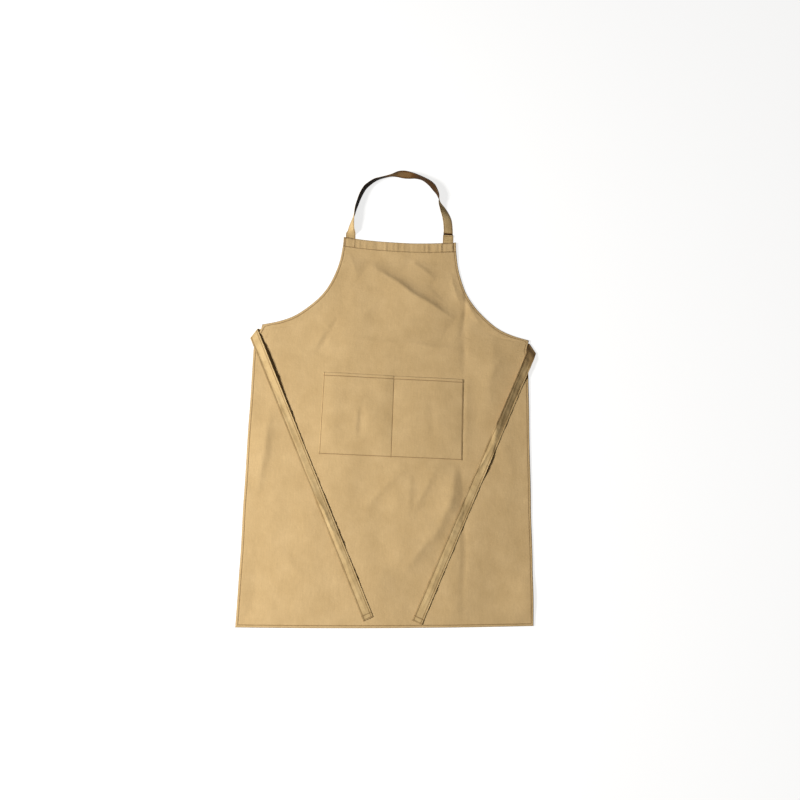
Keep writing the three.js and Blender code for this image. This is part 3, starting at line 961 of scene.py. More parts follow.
@dataclass
class StitchSewer:
    """Sews rows of lockstitch: one small thread capsule a stitch, along paths that lie on the cloth.

    Sizes are in mm, and the slant is how far a stitch may turn aside, in radians."""

    pitch: float = 3.1
    length: float = 2.5
    width: float = 0.62
    height: float = 0.42
    slant: float = 0.1

    def __post_init__(self) -> None:
        """Builds the node tree once."""
        sizes = {"Pitch": self.pitch, "Length": self.length, "Width": self.width, "Height": self.height}
        self.inputs = {name: size * MM for name, size in sizes.items()}
        self.tree = self.build_tree()

    def build_tree(self) -> bpy.types.NodeTree:
        """Builds the tree that puts a stitch at each step of a path.

        Returns:
            The tree.
        """
        tree = bpy.data.node_groups.new("rows_of_stitches", "GeometryNodeTree")
        sockets = tree.interface
        sockets.new_socket("Paths", in_out="INPUT", socket_type="NodeSocketGeometry")
        for name in self.inputs:
            sockets.new_socket(name, in_out="INPUT", socket_type="NodeSocketFloat")
        sockets.new_socket("Thread", in_out="INPUT", socket_type="NodeSocketMaterial")
        sockets.new_socket("Stitches", in_out="OUTPUT", socket_type="NodeSocketGeometry")
        given = add(tree, "NodeGroupInput").outputs
        curve = add(tree, "GeometryNodeMeshToCurve", {}, {0: given["Paths"]}).outputs[0]
        stepped = {"Curve": curve, "Length": given["Pitch"]}
        steps = add(tree, "GeometryNodeResampleCurve", {"mode": "LENGTH"}, stepped).outputs[0]
        ball = {"Segments": 6, "Rings": 4, "Radius": 0.5}
        capsule = add(tree, "GeometryNodeMeshUVSphere", ball).outputs[0]
        along = add(tree, "GeometryNodeInputTangent").outputs[0]
        named = {"data_type": "FLOAT_VECTOR", "Name": "face_way"}
        out_of_cloth = add(tree, "GeometryNodeInputNamedAttribute", named).outputs[0]
        turned = add(tree, "FunctionNodeAlignRotationToVector", {"axis": "X"}, {"Vector": along}).outputs[0]
        turned = add(
            tree,
            "FunctionNodeAlignRotationToVector",
            {"axis": "Z", "pivot_axis": "X"},
            {"Rotation": turned, "Vector": out_of_cloth},
        ).outputs[0]
        limits = {"data_type": "FLOAT", 2: -self.slant, 3: self.slant, "Seed": Seed.STITCHES.value}
        wander = add(tree, "FunctionNodeRandomValue", limits).outputs[1]
        slant = add(tree, "ShaderNodeCombineXYZ", {}, {2: wander}).outputs[0]
        slant = add(tree, "FunctionNodeEulerToRotation", {}, {0: slant}).outputs[0]
        local = {"rotation_space": "LOCAL"}
        turned = add(tree, "FunctionNodeRotateRotation", local, {0: turned, 1: slant}).outputs[0]
        sides = {0: given["Length"], 1: given["Width"], 2: given["Height"]}
        size = add(tree, "ShaderNodeCombineXYZ", {}, sides).outputs[0]
        stitch = {"Points": steps, "Instance": capsule, "Rotation": turned, "Scale": size}
        sewn = add(tree, "GeometryNodeInstanceOnPoints", {}, stitch).outputs[0]
        real = add(tree, "GeometryNodeRealizeInstances", {}, {0: sewn}).outputs[0]
        dyed = add(tree, "GeometryNodeSetMaterial", {}, {0: real, "Material": given["Thread"]}).outputs[0]
        add(tree, "NodeGroupOutput", {}, {0: dyed})
        return tree

    def sew(
        self, name: str, paths: Sequence[tuple[Array, Array]], thread: bpy.types.Material
    ) -> bpy.types.Object:
        """Sews stitches along paths.

        Args:
            name: The name of the stitches' object.
            paths: For each row its points in metres and the cloth's outward way at each.
            thread: The thread's material.

        Returns:
            The stitches as a plain mesh.
        """
        points, ways = (np.concatenate(part) for part in zip(*paths))
        edges, start = [], 0
        for path, _ in paths:
            edges += [(start + i, start + i + 1) for i in range(len(path) - 1)]
            start += len(path)
        mesh = bpy.data.meshes.new(name + "_paths")
        mesh.from_pydata(points.tolist(), edges, [])
        attribute = mesh.attributes.new("face_way", "FLOAT_VECTOR", "POINT")
        attribute.data.foreach_set("vector", ways.astype(np.float32).ravel())
        maker = placed(name + "_paths", mesh)
        modifier = maker.modifiers.new("Stitches", "NODES")
        modifier.node_group = self.tree
        values = {**self.inputs, "Thread": thread}
        for item in self.tree.interface.items_tree:
            if item.in_out == "INPUT" and item.name in values:
                modifier[item.identifier] = values[item.name]
        graph = bpy.context.evaluated_depsgraph_get()
        result = bpy.data.meshes.new_from_object(maker.evaluated_get(graph), depsgraph=graph)
        maker.modifiers.remove(modifier)
        bpy.data.objects.remove(maker)
        bpy.data.meshes.remove(mesh)
        result.name = name
        result.materials.clear()
        result.materials.append(thread)
        result.shade_smooth()
        return placed(name, result)


def normals_of(points: Array) -> Array:
    """The outward way at each point of a grid, by its columns' and rows' directions.

    Args:
        points: The grid's points, rows by columns by 3.

    Returns:
        A way of length 1 at each.
    """
    way = np.cross(np.gradient(points, axis=1), np.gradient(points, axis=0))
    return way / np.maximum(np.linalg.norm(way, axis=-1, keepdims=True), 1e-9)


def hand_over(piece: bpy.types.Object, slot: str, *nodes: str) -> None:
    """Gives a finished piece to the frame: it rides on the root and stands for CAD nodes, which it hides.

    Args:
        piece: The piece.
        slot: The record's material slot, which is not used.
        nodes: The CAD nodes that it replaces.
    """
    if nodes:
        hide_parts(*nodes)
    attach(piece, "root")
    piece.data.calc_loop_triangles()
    LOG.info("%s: %d triangles", piece.name, len(piece.data.loop_triangles))


@dataclass
class SewnPart:
    """What every sub-assembly is made with: the laid cloth, the materials and the stitches."""

    cloth: LaidCloth
    finishes: Finishes
    sewer: StitchSewer


@dataclass
class ApronBody(SewnPart):
    """The panel with its turned-under hems and their stitching. Insets from the cut's edge are in mm."""

    stitch_line: float = 5.4
    top_stitch_line: float = 25
    fine_edge: float = 2.4
    past_hem: float = 3
    inner_columns: int = 118
    lip: float = 1.0
    lip_steepness: float = 3
    edge_drop: float = 0.75
    edge_round: float = 1.6
    stitch_sink: float = 0.18
    stitch_reach: float = 1.5
    roll: float = 0.12
    roll_inset: float = 3.4
    roll_reach: float = 1.8
    # rim_share and rim_start shrink the distance along the cut's edges, so that the seam colour paints a band
    # of shade there.
    rim_share: float = 0.55
    rim_start: float = 0.3
    strip_end: float = 0.4
    strip_rows_end: float = 0.6
    strap_box: tuple[float, float] = (-138.0, -112.0)
    tab_box: tuple[float, float] = (105.0, 133.0)
    end_box_insets: tuple[float, float] = (1.2, 2.5)
    tie_box: tuple[float, float] = (2.5, 17)
    tie_box_inset: float = 2.5

    def edge_steps(self) -> Array:
        """Insets from the cut's edge to just past the hem, dense where the edge is rounded and stitched."""
        fine, line, past = self.fine_edge, self.stitch_line, self.cloth.sizes.edge_hem + self.past_hem
        return spread((0, fine, 4), (fine, line, 2), (line, past, 3))

    def lines(self) -> Array:
        """The rows of the panel's grid: dense at the hems and even along the armhole.

        Returns:
            Their heights on the pattern, in mm.
        """
        s = self.cloth.sizes
        skirt = np.linspace(s.edge_hem + self.past_hem, s.waist, 152)
        along = np.linspace(0, self.cloth.arm_along[-1], 82)
        armhole = np.interp(along, self.cloth.arm_along, self.cloth.arm_v)
        bib = armhole[armhole < s.top_hem_line - self.past_hem]
        stitch, fine = s.length - self.top_stitch_line, s.length - self.fine_edge
        top = spread((s.top_hem_line - 2, stitch, 3), (stitch, fine, 8), (fine, s.length, 4))
        return np.unique(np.concatenate([self.edge_steps(), skirt, bib, top]).round(4))

    def columns(self, v: Array) -> Array:
        """The columns of the panel's grid, dense at its side hems.

        Args:
            v: The rows' heights on the pattern.

        Returns:
            Each grid point's u.
        """
        insets = self.edge_steps()
        edge, steep = self.cloth.half_width(v)[:, None], self.cloth.steepness(v)[:, None]
        right = edge - insets[None, ::-1] / steep
        inner = (edge - insets[-1] / steep) * np.linspace(-1, 1, self.inner_columns)[None, 1:-1]
        return np.concatenate([-right[:, ::-1], inner, right], axis=1)

    def seam_distance(self, u: Array, v: Array) -> Array:
        """How far a point of the pattern is from the nearest stitched line or edge.

        Args:
            u: Across the pattern.
            v: Up the pattern.

        Returns:
            The distance in mm.
        """
        s = self.cloth.sizes
        edge = self.cloth.edge_distance(u, v)
        nearest = np.minimum(np.abs(edge - self.stitch_line), np.abs(s.length - v - self.top_stitch_line))
        # Along the cut's edges the distance is shrunk, so that the seam colour paints a band of shade, darkest
        # at the edge.
        rim = self.rim_share * np.minimum(edge, s.length - v) + self.rim_start
        nearest = np.minimum(nearest, rim)
        for u0, u1, v0, v1 in self.end_boxes():
            inside = np.minimum(np.minimum(u - u0, u1 - u), np.minimum(v - v0, v1 - v))
            nearest = np.minimum(nearest, np.abs(inside))
        return nearest

    def end_boxes(self) -> list[tuple[float, float, float, float]]:
        """The stitched boxes that hold the strap's and the tab's ends.

        Returns:
            Each one's u from and to, and v from and to.
        """
        s = self.cloth.sizes
        low = s.length - self.top_stitch_line + self.end_box_insets[0]
        high = s.length - self.end_box_insets[1]
        return [(*self.strap_box, low, high), (*self.tab_box, low, high)]

    def slab(self, name: str, u: Array, v: Array, low: Array, high: Array) -> bpy.types.Object:
        """Makes a piece of the body's cloth.

        Args:
            name: The piece's name.
            u: Its grid's points across the pattern.
            v: Its grid's points up the pattern.
            low: The height of its underside, in mm.
            high: The height of its upper side, in mm.

        Returns:
            The piece.
        """
        x, y = self.cloth.place(u, v)
        lower, upper = self.cloth.row_frame(x, y, low), self.cloth.row_frame(x, y, high)
        cut = np.stack([u, v], axis=-1) * MM
        return closed_slab(name, lower, upper, cut, self.seam_distance(u, v), self.finishes.body)

    def build(self) -> tuple[bpy.types.Object, list[bpy.types.Object]]:
        """Makes the panel and its hems, each from the same laid grid.

        Returns:
            The panel and its hems.
        """
        s = self.cloth.sizes
        lines = self.lines()
        u = self.columns(lines)
        v = np.broadcast_to(lines[:, None], u.shape)
        low = self.cloth.underside(u, v)
        edge = np.minimum(self.cloth.edge_distance(u, v), s.length - v)
        rounding = self.edge_drop * (1 - np.clip(edge / self.edge_round, 0, 1)) ** 2
        sewn = np.clip(1 - self.seam_distance(u, v) / self.stitch_reach, 0, 1)
        roll = self.roll * np.exp(-(((edge - self.roll_inset) / self.roll_reach) ** 2))
        top = low + s.cloth - rounding - self.stitch_sink * sewn + roll
        # Within the lip the cloth turns down over the edge of the hem below it.
        rim = 1 - np.clip(edge / self.lip, 0, 1)
        bottom = low - (s.layer - rounding) * (rim > 0.01) * np.minimum(1, rim * self.lip_steepness)
        return self.slab("apron_panel_cloth", u, v, bottom, top), self.hems(lines)

    def hems(self, lines: Array) -> list[bpy.types.Object]:
        """Makes the turned-under strips that show from behind, a layer below the panel.

        Args:
            lines: The rows of the panel's grid.

        Returns:
            The strips.
        """
        s = self.cloth.sizes
        first = self.lip + s.clearance
        corner = s.waist - s.edge_hem
        insets = np.linspace(first, s.edge_hem, 6)
        along_skirt = np.linspace(s.edge_hem + s.clearance, corner - s.clearance / 2, 150)
        rows = lines[(lines > corner + s.clearance / 2) & (lines < s.top_hem_line - self.strip_rows_end)]
        last = s.top_hem_line - s.clearance - self.strip_end
        along_bib = np.concatenate([[corner + s.clearance / 2], rows, [last]])
        grids = {}
        for side in Side:
            for name, line in (("side", along_skirt), ("armhole", along_bib)):
                edge, steep = self.cloth.half_width(line)[:, None], self.cloth.steepness(line)[:, None]
                u = edge - insets[None, ::-1] / steep
                grids[f"{side.name.lower()}_{name}_hem"] = line, u if side is Side.RIGHT else -u[:, ::-1]
        along_top = np.linspace(s.top_hem_line, s.length - first, 14)
        for name, line in (("bottom_hem", insets), ("top_hem", along_top)):
            edge = self.cloth.half_width(line)[:, None] - first / self.cloth.steepness(line)[:, None]
            grids[name] = line, edge * np.linspace(-1, 1, 160)[None, :]
        strips = []
        for name, (line, u) in grids.items():
            v = np.broadcast_to(line[:, None], u.shape)
            low = self.cloth.underside(u, v) - s.layer
            strips.append(self.slab(name + "_cloth", u, v, low, low + s.cloth))
        return strips

    def path(self, u: Array, v: Array) -> tuple[Array, Array]:
        """A row of stitches over the panel, along points of the pattern.

        Args:
            u: The row's points across the pattern.
            v: The row's points up the pattern.

        Returns:
            The points in metres and the cloth's outward way at each.
        """
        x, y = self.cloth.place(u, v)
        return self.cloth.flat_path(x, y, self.cloth.underside(u, v) + self.cloth.sizes.cloth)

    def box_rows(self, u0: float, u1: float, v0: float, v1: float) -> list[tuple[Array, Array]]:
        """Rows of stitches round a rectangle of the pattern.

        Args:
            u0: Its left side.
            u1: Its right side.
            v0: Its lower side.
            v1: Its upper side.

        Returns:
            A row for each side.
        """
        corners = [(u0, v0), (u1, v0), (u1, v1), (u0, v1)]
        share = np.linspace(0, 1, 12)
        return [
            self.path(a[0] + (b[0] - a[0]) * share, a[1] + (b[1] - a[1]) * share)
            for a, b in zip(corners, corners[1:] + corners[:1])
        ]

    def sew(self) -> bpy.types.Object:
        """Sews the hems, the strap's and tab's boxes and the ties' boxes.

        Returns:
            The stitches.
        """
        s = self.cloth.sizes
        inset, stitch_top = self.stitch_line, s.length - self.top_stitch_line
        skirt = np.linspace(inset, s.waist - inset, 170)
        armhole = np.linspace(4, self.cloth.arm_along[-1], 110)
        v = np.concatenate([skirt, np.interp(armhole, self.cloth.arm_along, self.cloth.arm_v)])
        v = v[v < stitch_top]
        edge = self.cloth.half_width(v) - inset / self.cloth.steepness(v)
        across = np.linspace(-1, 1, 180)
        paths = [self.path(-edge, v), self.path(edge, v)]
        for half, level in ((s.skirt_width / 2 - inset, inset), (s.bib_top_width / 2 - 1.5, stitch_top)):
            paths.append(self.path(across * half, np.full(180, level)))
        boxes = self.end_boxes()
        reach, half = s.skirt_width / 2 - s.tie_insert, s.tie_width / 2 - self.tie_box_inset
        for side in Side:
            ends = sorted(side.value * (reach + part) for part in self.tie_box)
            boxes.append((*ends, s.tie_line - half, s.tie_line + half))
        for box in boxes:
            paths += self.box_rows(*box)
        return self.sewer.sew("apron_stitches", paths, self.finishes.thread)

    def finish(self) -> None:
        """Makes, sews and hands over the body."""
        panel, strips = self.build()
        stitches = self.sew()
        for strip in strips:
            hand_over(strip, "twill", strip.name.removesuffix("_cloth"))
        hand_over(panel, "twill", "apron_panel")
        hand_over(stitches, "twill")


class Dent(NamedTuple):
    """A dent in the pocket's cloth, in mm from the pocket's lower left corner.

    Its middle line leans, and is at across where its height is pivot. The dent reaches left and right of
    that line and tall up and down from the height up, where it is deep."""

    across: float
    pivot: float
    lean: float
    left: float
    right: float
    up: float
    tall: float
    deep: float


DENTS = (
    Dent(across=91, pivot=80, lean=0.05, left=4, right=15, up=78, tall=34, deep=1.9),
    Dent(across=262, pivot=90, lean=-0.1, left=9, right=9, up=96, tall=40, deep=0.8),
)


@dataclass
class Pocket(SewnPart):
    """The patch pocket: two compartments side by side, with a hem along its mouth. Sizes are in mm."""

    seam_inset: float = 2.2
    mouth_stitch: float = 7.5
    crown: float = 2.3
    swell: float = 0.5
    swell_width: float = 52
    ripple: float = 0.25
    ripple_width: float = 24
    pucker: float = 0.22
    pucker_width: float = 9
    pucker_inset: float = 4
    pucker_spread: float = 30
    edge_drop: float = 0.75
    edge_round: float = 2.2
    edge_power: float = 1.5
    edge_lift: float = 0.3
    mouth_hem: float = 0.45
    stitch_sink: float = 0.2
    stitch_reach: float = 1.5
    stitch_bite: float = 0.1

    def surface(self, across: Array, up: Array) -> tuple[Array, Array, Array]:
        """The pocket's underside in mm.

        Args:
            across: From the pocket's left edge, in mm.
            up: From its bottom edge, in mm.

        Returns:
            x, y and z.
        """
        s = self.cloth.sizes
        half = s.pocket_width / 2
        x = s.pocket_offset - half + across
        y = s.pocket_base + up
        in_half = np.abs(np.mod(across, half) / half * 2 - 1)
        in_half = np.where(across >= s.pocket_width - 1e-6, 1, in_half)
        free = (1 - in_half**3) * (1 - (1 - ramp(up, 4, 0.5 * s.pocket_height)) ** 2)
        dented = np.zeros_like(x)
        for dent in DENTS:
            aside = across - dent.across - (up - dent.pivot) * dent.lean
            width = np.where(aside < 0, dent.left, dent.right)
            dented -= dent.deep * np.exp(-((aside / width) ** 2) - ((up - dent.up) / dent.tall) ** 4)
        waves = self.swell * drift(x, y, self.swell_width, Seed.POCKET_SWELL)
        waves += self.ripple * drift(x, y, self.ripple_width, Seed.POCKET_RIPPLE)
        rise = (self.crown + dented + waves) * free
        along_seam = np.where(in_half > 0.9, y, x)
        pucker = self.pucker * drift(along_seam, in_half * 3, self.pucker_width, Seed.POCKET_PUCKER)
        edge = np.minimum(np.minimum(across, s.pocket_width - across), up)
        rise = rise + pucker * np.exp(-((edge - self.pucker_inset) ** 2) / self.pucker_spread)
        z = self.cloth.underside(*self.cloth.pattern(x, y)) + s.layer + np.maximum(rise, 0)
        return x, y, z

    def seam_distance(self, across: Array, up: Array) -> Array:
        """How far a point of the pocket is from the nearest stitched line.

        Args:
            across: From the pocket's left edge, in mm.
            up: From its bottom edge, in mm.

        Returns:
            The distance in mm.
        """
        s = self.cloth.sizes
        side = np.abs(np.minimum(across, s.pocket_width - across) - self.seam_inset)
        middle = np.abs(across - s.pocket_width / 2)
        mouth = np.abs(s.pocket_height - up - self.mouth_stitch)
        return np.minimum(np.minimum(side, middle), np.minimum(mouth, np.abs(up - self.seam_inset)))

    def grid(self) -> tuple[Array, Array]:
        """The pocket's grid, dense at its edges and stitched lines.

        Returns:
            Each point's place across the pocket and up it, in mm.
        """
        s = self.cloth.sizes
        w, h, i, m = s.pocket_width, s.pocket_height, self.seam_inset, self.mouth_stitch
        half = w / 2
        columns = spread(
            (0, i, 3), (i, 6, 3), (6, half - 6, 40), (half - 6, half - 1.5, 3), (half - 1.5, half + 1.5, 4),
            (half + 1.5, half + 6, 3), (half + 6, w - 6, 40), (w - 6, w - i, 3), (w - i, w, 3),
        )
        rows = spread(
            (0, i, 3), (i, 6, 3), (6, h - 12, 44), (h - 12, h - m - 1, 3), (h - m - 1, h - m, 2),
            (h - m, h, 8),
        )
        return tuple(np.meshgrid(columns, rows))

    def build(self) -> bpy.types.Object:
        """Makes the pocket's cloth, a layer thicker along its hemmed mouth.

        Returns:
            The pocket.
        """
        s = self.cloth.sizes
        across, up = self.grid()
        x, y, z = self.surface(across, up)
        edge = np.minimum(np.minimum(across, s.pocket_width - across), np.minimum(up, s.pocket_height - up))
        rounding = self.edge_drop * (1 - np.clip(edge / self.edge_round, 0, 1)) ** self.edge_power
        seam = self.seam_distance(across, up)
        mouth = s.pocket_height - self.mouth_stitch
        hemmed = self.mouth_hem * smooth(up, mouth - 0.4, mouth + 2)
        sewn = np.clip(1 - seam / self.stitch_reach, 0, 1)
        top = z + s.cloth + hemmed - rounding - self.stitch_sink * sewn
        lower = self.cloth.row_frame(x, y, z + self.edge_lift * rounding)
        upper = self.cloth.row_frame(x, y, top)
        cut = np.stack([x, y], axis=-1) * MM
        return closed_slab("pocket_cloth", lower, upper, cut, seam, self.finishes.body)

    def sew(self) -> bpy.types.Object:
        """Sews the pocket on and hems its mouth.

        Returns:
            The stitches.
        """
        s = self.cloth.sizes
        w, h, i = s.pocket_width, s.pocket_height, self.seam_inset
        line = np.linspace(0, 1, 90)
        runs = [(np.full(90, across), i + (h - i - 1) * line) for across in (i, w - i, w / 2)]
        runs.append((i + (w - 2 * i) * line, np.full(90, i)))
        runs.append((1 + (w - 2) * line, np.full(90, h - self.mouth_stitch)))
        paths = []
        for across, up in runs:
            x, y, z = self.surface(across, up)
            paths.append(self.cloth.flat_path(x, y, z + s.cloth - self.stitch_bite))
        return self.sewer.sew("pocket_stitches", paths, self.finishes.thread)

    def finish(self) -> None:
        """Makes, sews and hands over the pocket."""
        pocket, stitches = self.build(), self.sew()
        hand_over(pocket, "twill", "pocket")
        hand_over(stitches, "twill")


# The columns of tape_columns that lie on a strap's two stitched lines.
TAPE_STITCHES = (5, -6)


def tape_columns(width: float, seam_inset: float) -> Array:
    """The places across a flat strap, dense at its rounded edges and its stitched lines.

    Args:
        width: The strap's width, in mm.
        seam_inset: The stitched lines' distance from its edges, in mm.

    Returns:
        The places in mm from its middle line, rising.
    """
    half, line = width / 2, width / 2 - seam_inset
    side = [half, half - 0.12, half - 0.4, half - 0.9, line + 0.7, line, line - 0.7]
    side += list(np.linspace(line - 2.0, 0, 6)[:-1])
    return np.array([-x for x in side] + [0.0] + side[::-1])


class Strip(NamedTuple):
    """A flat strap's middle surface.

    points is its grid in mm from the hem's middle, rows along it by columns across it. across is each
    column's place across the strap and along each row's place along it, in mm."""

    points: Array
    across: Array
    along: Array


@dataclass
class TapePart(SewnPart):
    """A part made of flat strap. Its edges are rounded, and its stitched lines pressed in, in mm."""

    edge_round: float = 0.9
    edge_share: float = 0.85
    stitch_sink: float = 0.12
    stitch_reach: float = 1.3

    def ribbon(
        self,
        name: str,
        strip: Strip,
        seam: Array,
        thickness: Array,
        shade: Optional[tuple[Array, Array]] = None,
    ) -> bpy.types.Object:
        """Makes the strap about its middle surface.

        Args:
            name: The object's name.
            strip: The middle surface.
            seam: Each point's distance from the nearest stitched line, in mm.
            thickness: Each point's thickness, in mm.
            shade: How deep the painted shade is at each point of the underside and of the upper side, 0 to 2.

        Returns:
            The strap.
        """
        way = normals_of(strip.points)
        edge = (np.abs(strip.across).max() - np.abs(strip.across))[None, :]
        rounded = np.sqrt(1 - (1 - np.clip(edge / self.edge_round, 0, 1)) ** 2 * self.edge_share)
        sewn = self.stitch_sink * np.clip(1 - seam / self.stitch_reach, 0, 1)
        up = (thickness / 2) * rounded - sewn
        down = (self.cloth.sizes.cloth / 2) * np.broadcast_to(rounded, up.shape)
        sides = (strip.points - way * down[..., None], strip.points + way * up[..., None])
        lower, upper = (self.cloth.row_frame(*np.moveaxis(side, -1, 0)) for side in sides)
        cut = np.stack(np.meshgrid(strip.across, strip.along), axis=-1) * MM
        return closed_slab(name, lower, upper, cut, seam, self.finishes.tape, shade)


@dataclass
class NeckStrap(TapePart):
    """The neck strap: a flat strap on its edge round the loop, turning over to lie flat at both ends.

    across and up are its course, in shares of half the loop's width and of its height. edge is how it is
    turned along that course, in degrees: 90 stands on its edge and 180 lies flat. The shades are painted
    shade:
    how dark its turned side, its rims and its part past the tab are painted, where the light doesn't reach."""

    seam_inset: float = 2.2
    rows: int = 300
    across: Sequence[float] = (
        -1.065, -1.063, -1.056, -1.036, -1.01, -0.992, -0.966, -0.909, -0.838, -0.769, -0.645, -0.513,
        -0.373, -0.253, -0.13, 0, 0.125, 0.25, 0.4, 0.549, 0.641, 0.706, 0.753, 0.77, 0.798, 0.86, 0.918,
        0.954, 0.971, 0.98, 0.982, 0.982,
    )
    up: Sequence[float] = (
        0.035, 0.09, 0.16, 0.25, 0.33, 0.41, 0.48, 0.614, 0.726, 0.79, 0.867, 0.916, 0.952, 0.98, 1, 1.003,
        0.996, 0.987, 0.958, 0.896, 0.833, 0.769, 0.697, 0.64, 0.58, 0.499, 0.418, 0.349, 0.273, 0.2, 0.14,
        0.04,
    )
    edge: Sequence[float] = (
        180, 137, 122, 106, 90, 84, 82, 80, 82, 88, 95, 105, 107, 102, 82, 68, 75, 90, 97, 87, 80, 88, 94,
        104, 124, 144, 157, 167, 170, 172, 180, 180,
    )
    curl: float = 1.1
    curl_turn: float = 31
    start_flat: tuple[float, float] = (30, 60)
    end_flat: tuple[float, float] = (50, 20)
    # Painted shade: shade_along and inner_shade darken the strap's side turned into the loop, rim_shade its
    # rims, and past_tab its part just past the tab, where the light doesn't reach.
    shade_along: Sequence[float] = (0.0, 0.04, 0.1, 0.42, 0.46, 0.56, 0.62, 0.8, 0.87, 0.92, 1.0)
    inner_shade: Sequence[float] = (0.0, 0.2, 2.0, 1.95, 0.8, 0.85, 1.6, 1.5, 0.35, 0.05, 0.0)
    rim_shade: float = 0.9
    rim_width: float = 2.6
    rims_from: tuple[float, float] = (0.42, 0.47)
    rims_fade: tuple[float, float] = (0.8, 0.9)
    past_tab: float = 2.2
    past_tab_width: float = 3.3
    stitched: tuple[float, float] = (0.05, 0.97)
    stitch_bite: float = 0.05

    @property
    def tab_edge(self) -> float:
        """The height of the line where the strap comes out from under the tab."""
        return self.cloth.sizes.length + self.cloth.sizes.tab_reach + 0.7

    def surface(self) -> Strip:
        """The strap's middle surface.

        Returns:
            The surface.
        """
        s = self.cloth.sizes
        course = np.stack(
            [
                np.array(self.across) * s.strap_loop_width / 2,
                s.length + np.array(self.up) * s.strap_loop_height,
                np.array(self.edge, float),
            ],
            axis=1,
        )
        first = [course[0, 0], s.length - s.strap_insert, course[0, 2]]
        course = spline(np.vstack([first, course]), 2400)
        way = np.gradient(course[:, :2], axis=0)
        length = walked(course[:, :2])
        along = np.linspace(0, length[-1], self.rows)
        course = np.stack([np.interp(along, length, course[:, i]) for i in range(3)], axis=1)
        way = np.stack([np.interp(along, length, way[:, i]) for i in range(2)], axis=1)
        way /= np.linalg.norm(way, axis=1)[:, None]
        outward = np.stack([-way[:, 1], way[:, 0], np.zeros(len(way))], axis=1)
        turn = np.radians(np.minimum(course[:, 2], 180))
        half = s.strap_width / 2
        height = half * np.abs(np.sin(turn)) + s.cloth / 2 * np.abs(np.cos(turn))
        centre = np.stack([course[:, 0], course[:, 1], height], axis=1)
        w = tape_columns(s.strap_width, self.seam_inset)
        cross = outward * np.cos(turn)[:, None] + UPWARD * np.sin(turn)[:, None]
        points = centre[:, None, :] + w[None, :, None] * cross[:, None, :]
        before, after = (along[-1] - part for part in self.end_flat)
        free = smooth(along, *self.start_flat) * (1 - smooth(along, before, after))
        side = np.cross(cross, np.concatenate([way, np.zeros((len(way), 1))], axis=1))
        waving = np.sin(along / self.curl_turn)
        curl = self.curl * (1 - (w[None, :] / half) ** 2) * waving[:, None] * free[:, None]
        return Strip(points + curl[..., None] * side[:, None, :], w, along)

    def shades(self, strip: Strip) -> tuple[Array, Array]:
        """How deep the painted shade is on the strap's turned side, its rims and its part just past the tab.

        Args:
            strip: The middle surface.

        Returns:
            The shade of the underside and of the upper side, 0 to 2.
        """
        share = strip.along / strip.along[-1]
        inner = read_column(self.shade_along, self.inner_shade, share)
        rim = (self.cloth.sizes.strap_width / 2 - np.abs(strip.across)) / self.rim_width
        outlined = smooth(share, *self.rims_from) * (1 - 0.5 * smooth(share, *self.rims_fade))
        inner = inner[:, None] + self.rim_shade * outlined[:, None] * np.exp(-(rim**2))[None, :]
        # Painted shade on the upper side just past the tab's edge, on the right end only.
        past = (strip.points[..., 1] - self.tab_edge - self.past_tab) / self.past_tab_width
        return np.minimum(inner, 2), 2.0 * np.exp(-(past**2)) * (strip.points[..., 0] > 0)

    def build(self, strip: Strip) -> bpy.types.Object:
        """Makes the strap's cloth.

        Args:
            strip: The middle surface.

        Returns:
            The strap.
        """
        s = self.cloth.sizes
        shape = strip.points.shape[:2]
        seam = np.abs(np.abs(strip.across) - (s.strap_width / 2 - self.seam_inset))
        seam = np.broadcast_to(seam[None, :], shape)
        # A line of painted shadow, in the seam colour, where the strap comes out from under the tab's upper
        # edge.
        from_tab = np.abs(strip.points[..., 1] - self.tab_edge)
        painted_tab_shadow_mm = np.where(strip.points[..., 0] > 0, from_tab, seam + 9)
        seam = np.minimum(seam, painted_tab_shadow_mm * 0.8)
        return self.ribbon("neck_strap_cloth", strip, seam, np.full(shape, s.cloth), self.shades(strip))

    def sew(self, strip: Strip) -> bpy.types.Object:
        """Sews both stitched lines, on both sides of the strap.

        Args:
            strip: The middle surface.

        Returns:
            The stitches.
        """
        ways = normals_of(strip.points)
        shown = slice(*(int(self.rows * share) for share in self.stitched))
        paths = []
        for face in (1, -1):
            for column in TAPE_STITCHES:
                off = face * (self.cloth.sizes.cloth / 2 - self.stitch_bite) * ways[shown, column]
                line = strip.points[shown, column] + off
                paths.append((self.cloth.row_frame(*line.T), face * ways[shown, column]))
        return self.sewer.sew("neck_strap_stitches", paths, self.finishes.thread)

    def finish(self) -> None:
        """Makes, sews and hands over the neck strap."""
        strip = self.surface()
        strap, stitches = self.build(strip), self.sew(strip)
        hand_over(strap, "strap_twill", "neck_strap")
        hand_over(stitches, "strap_twill")


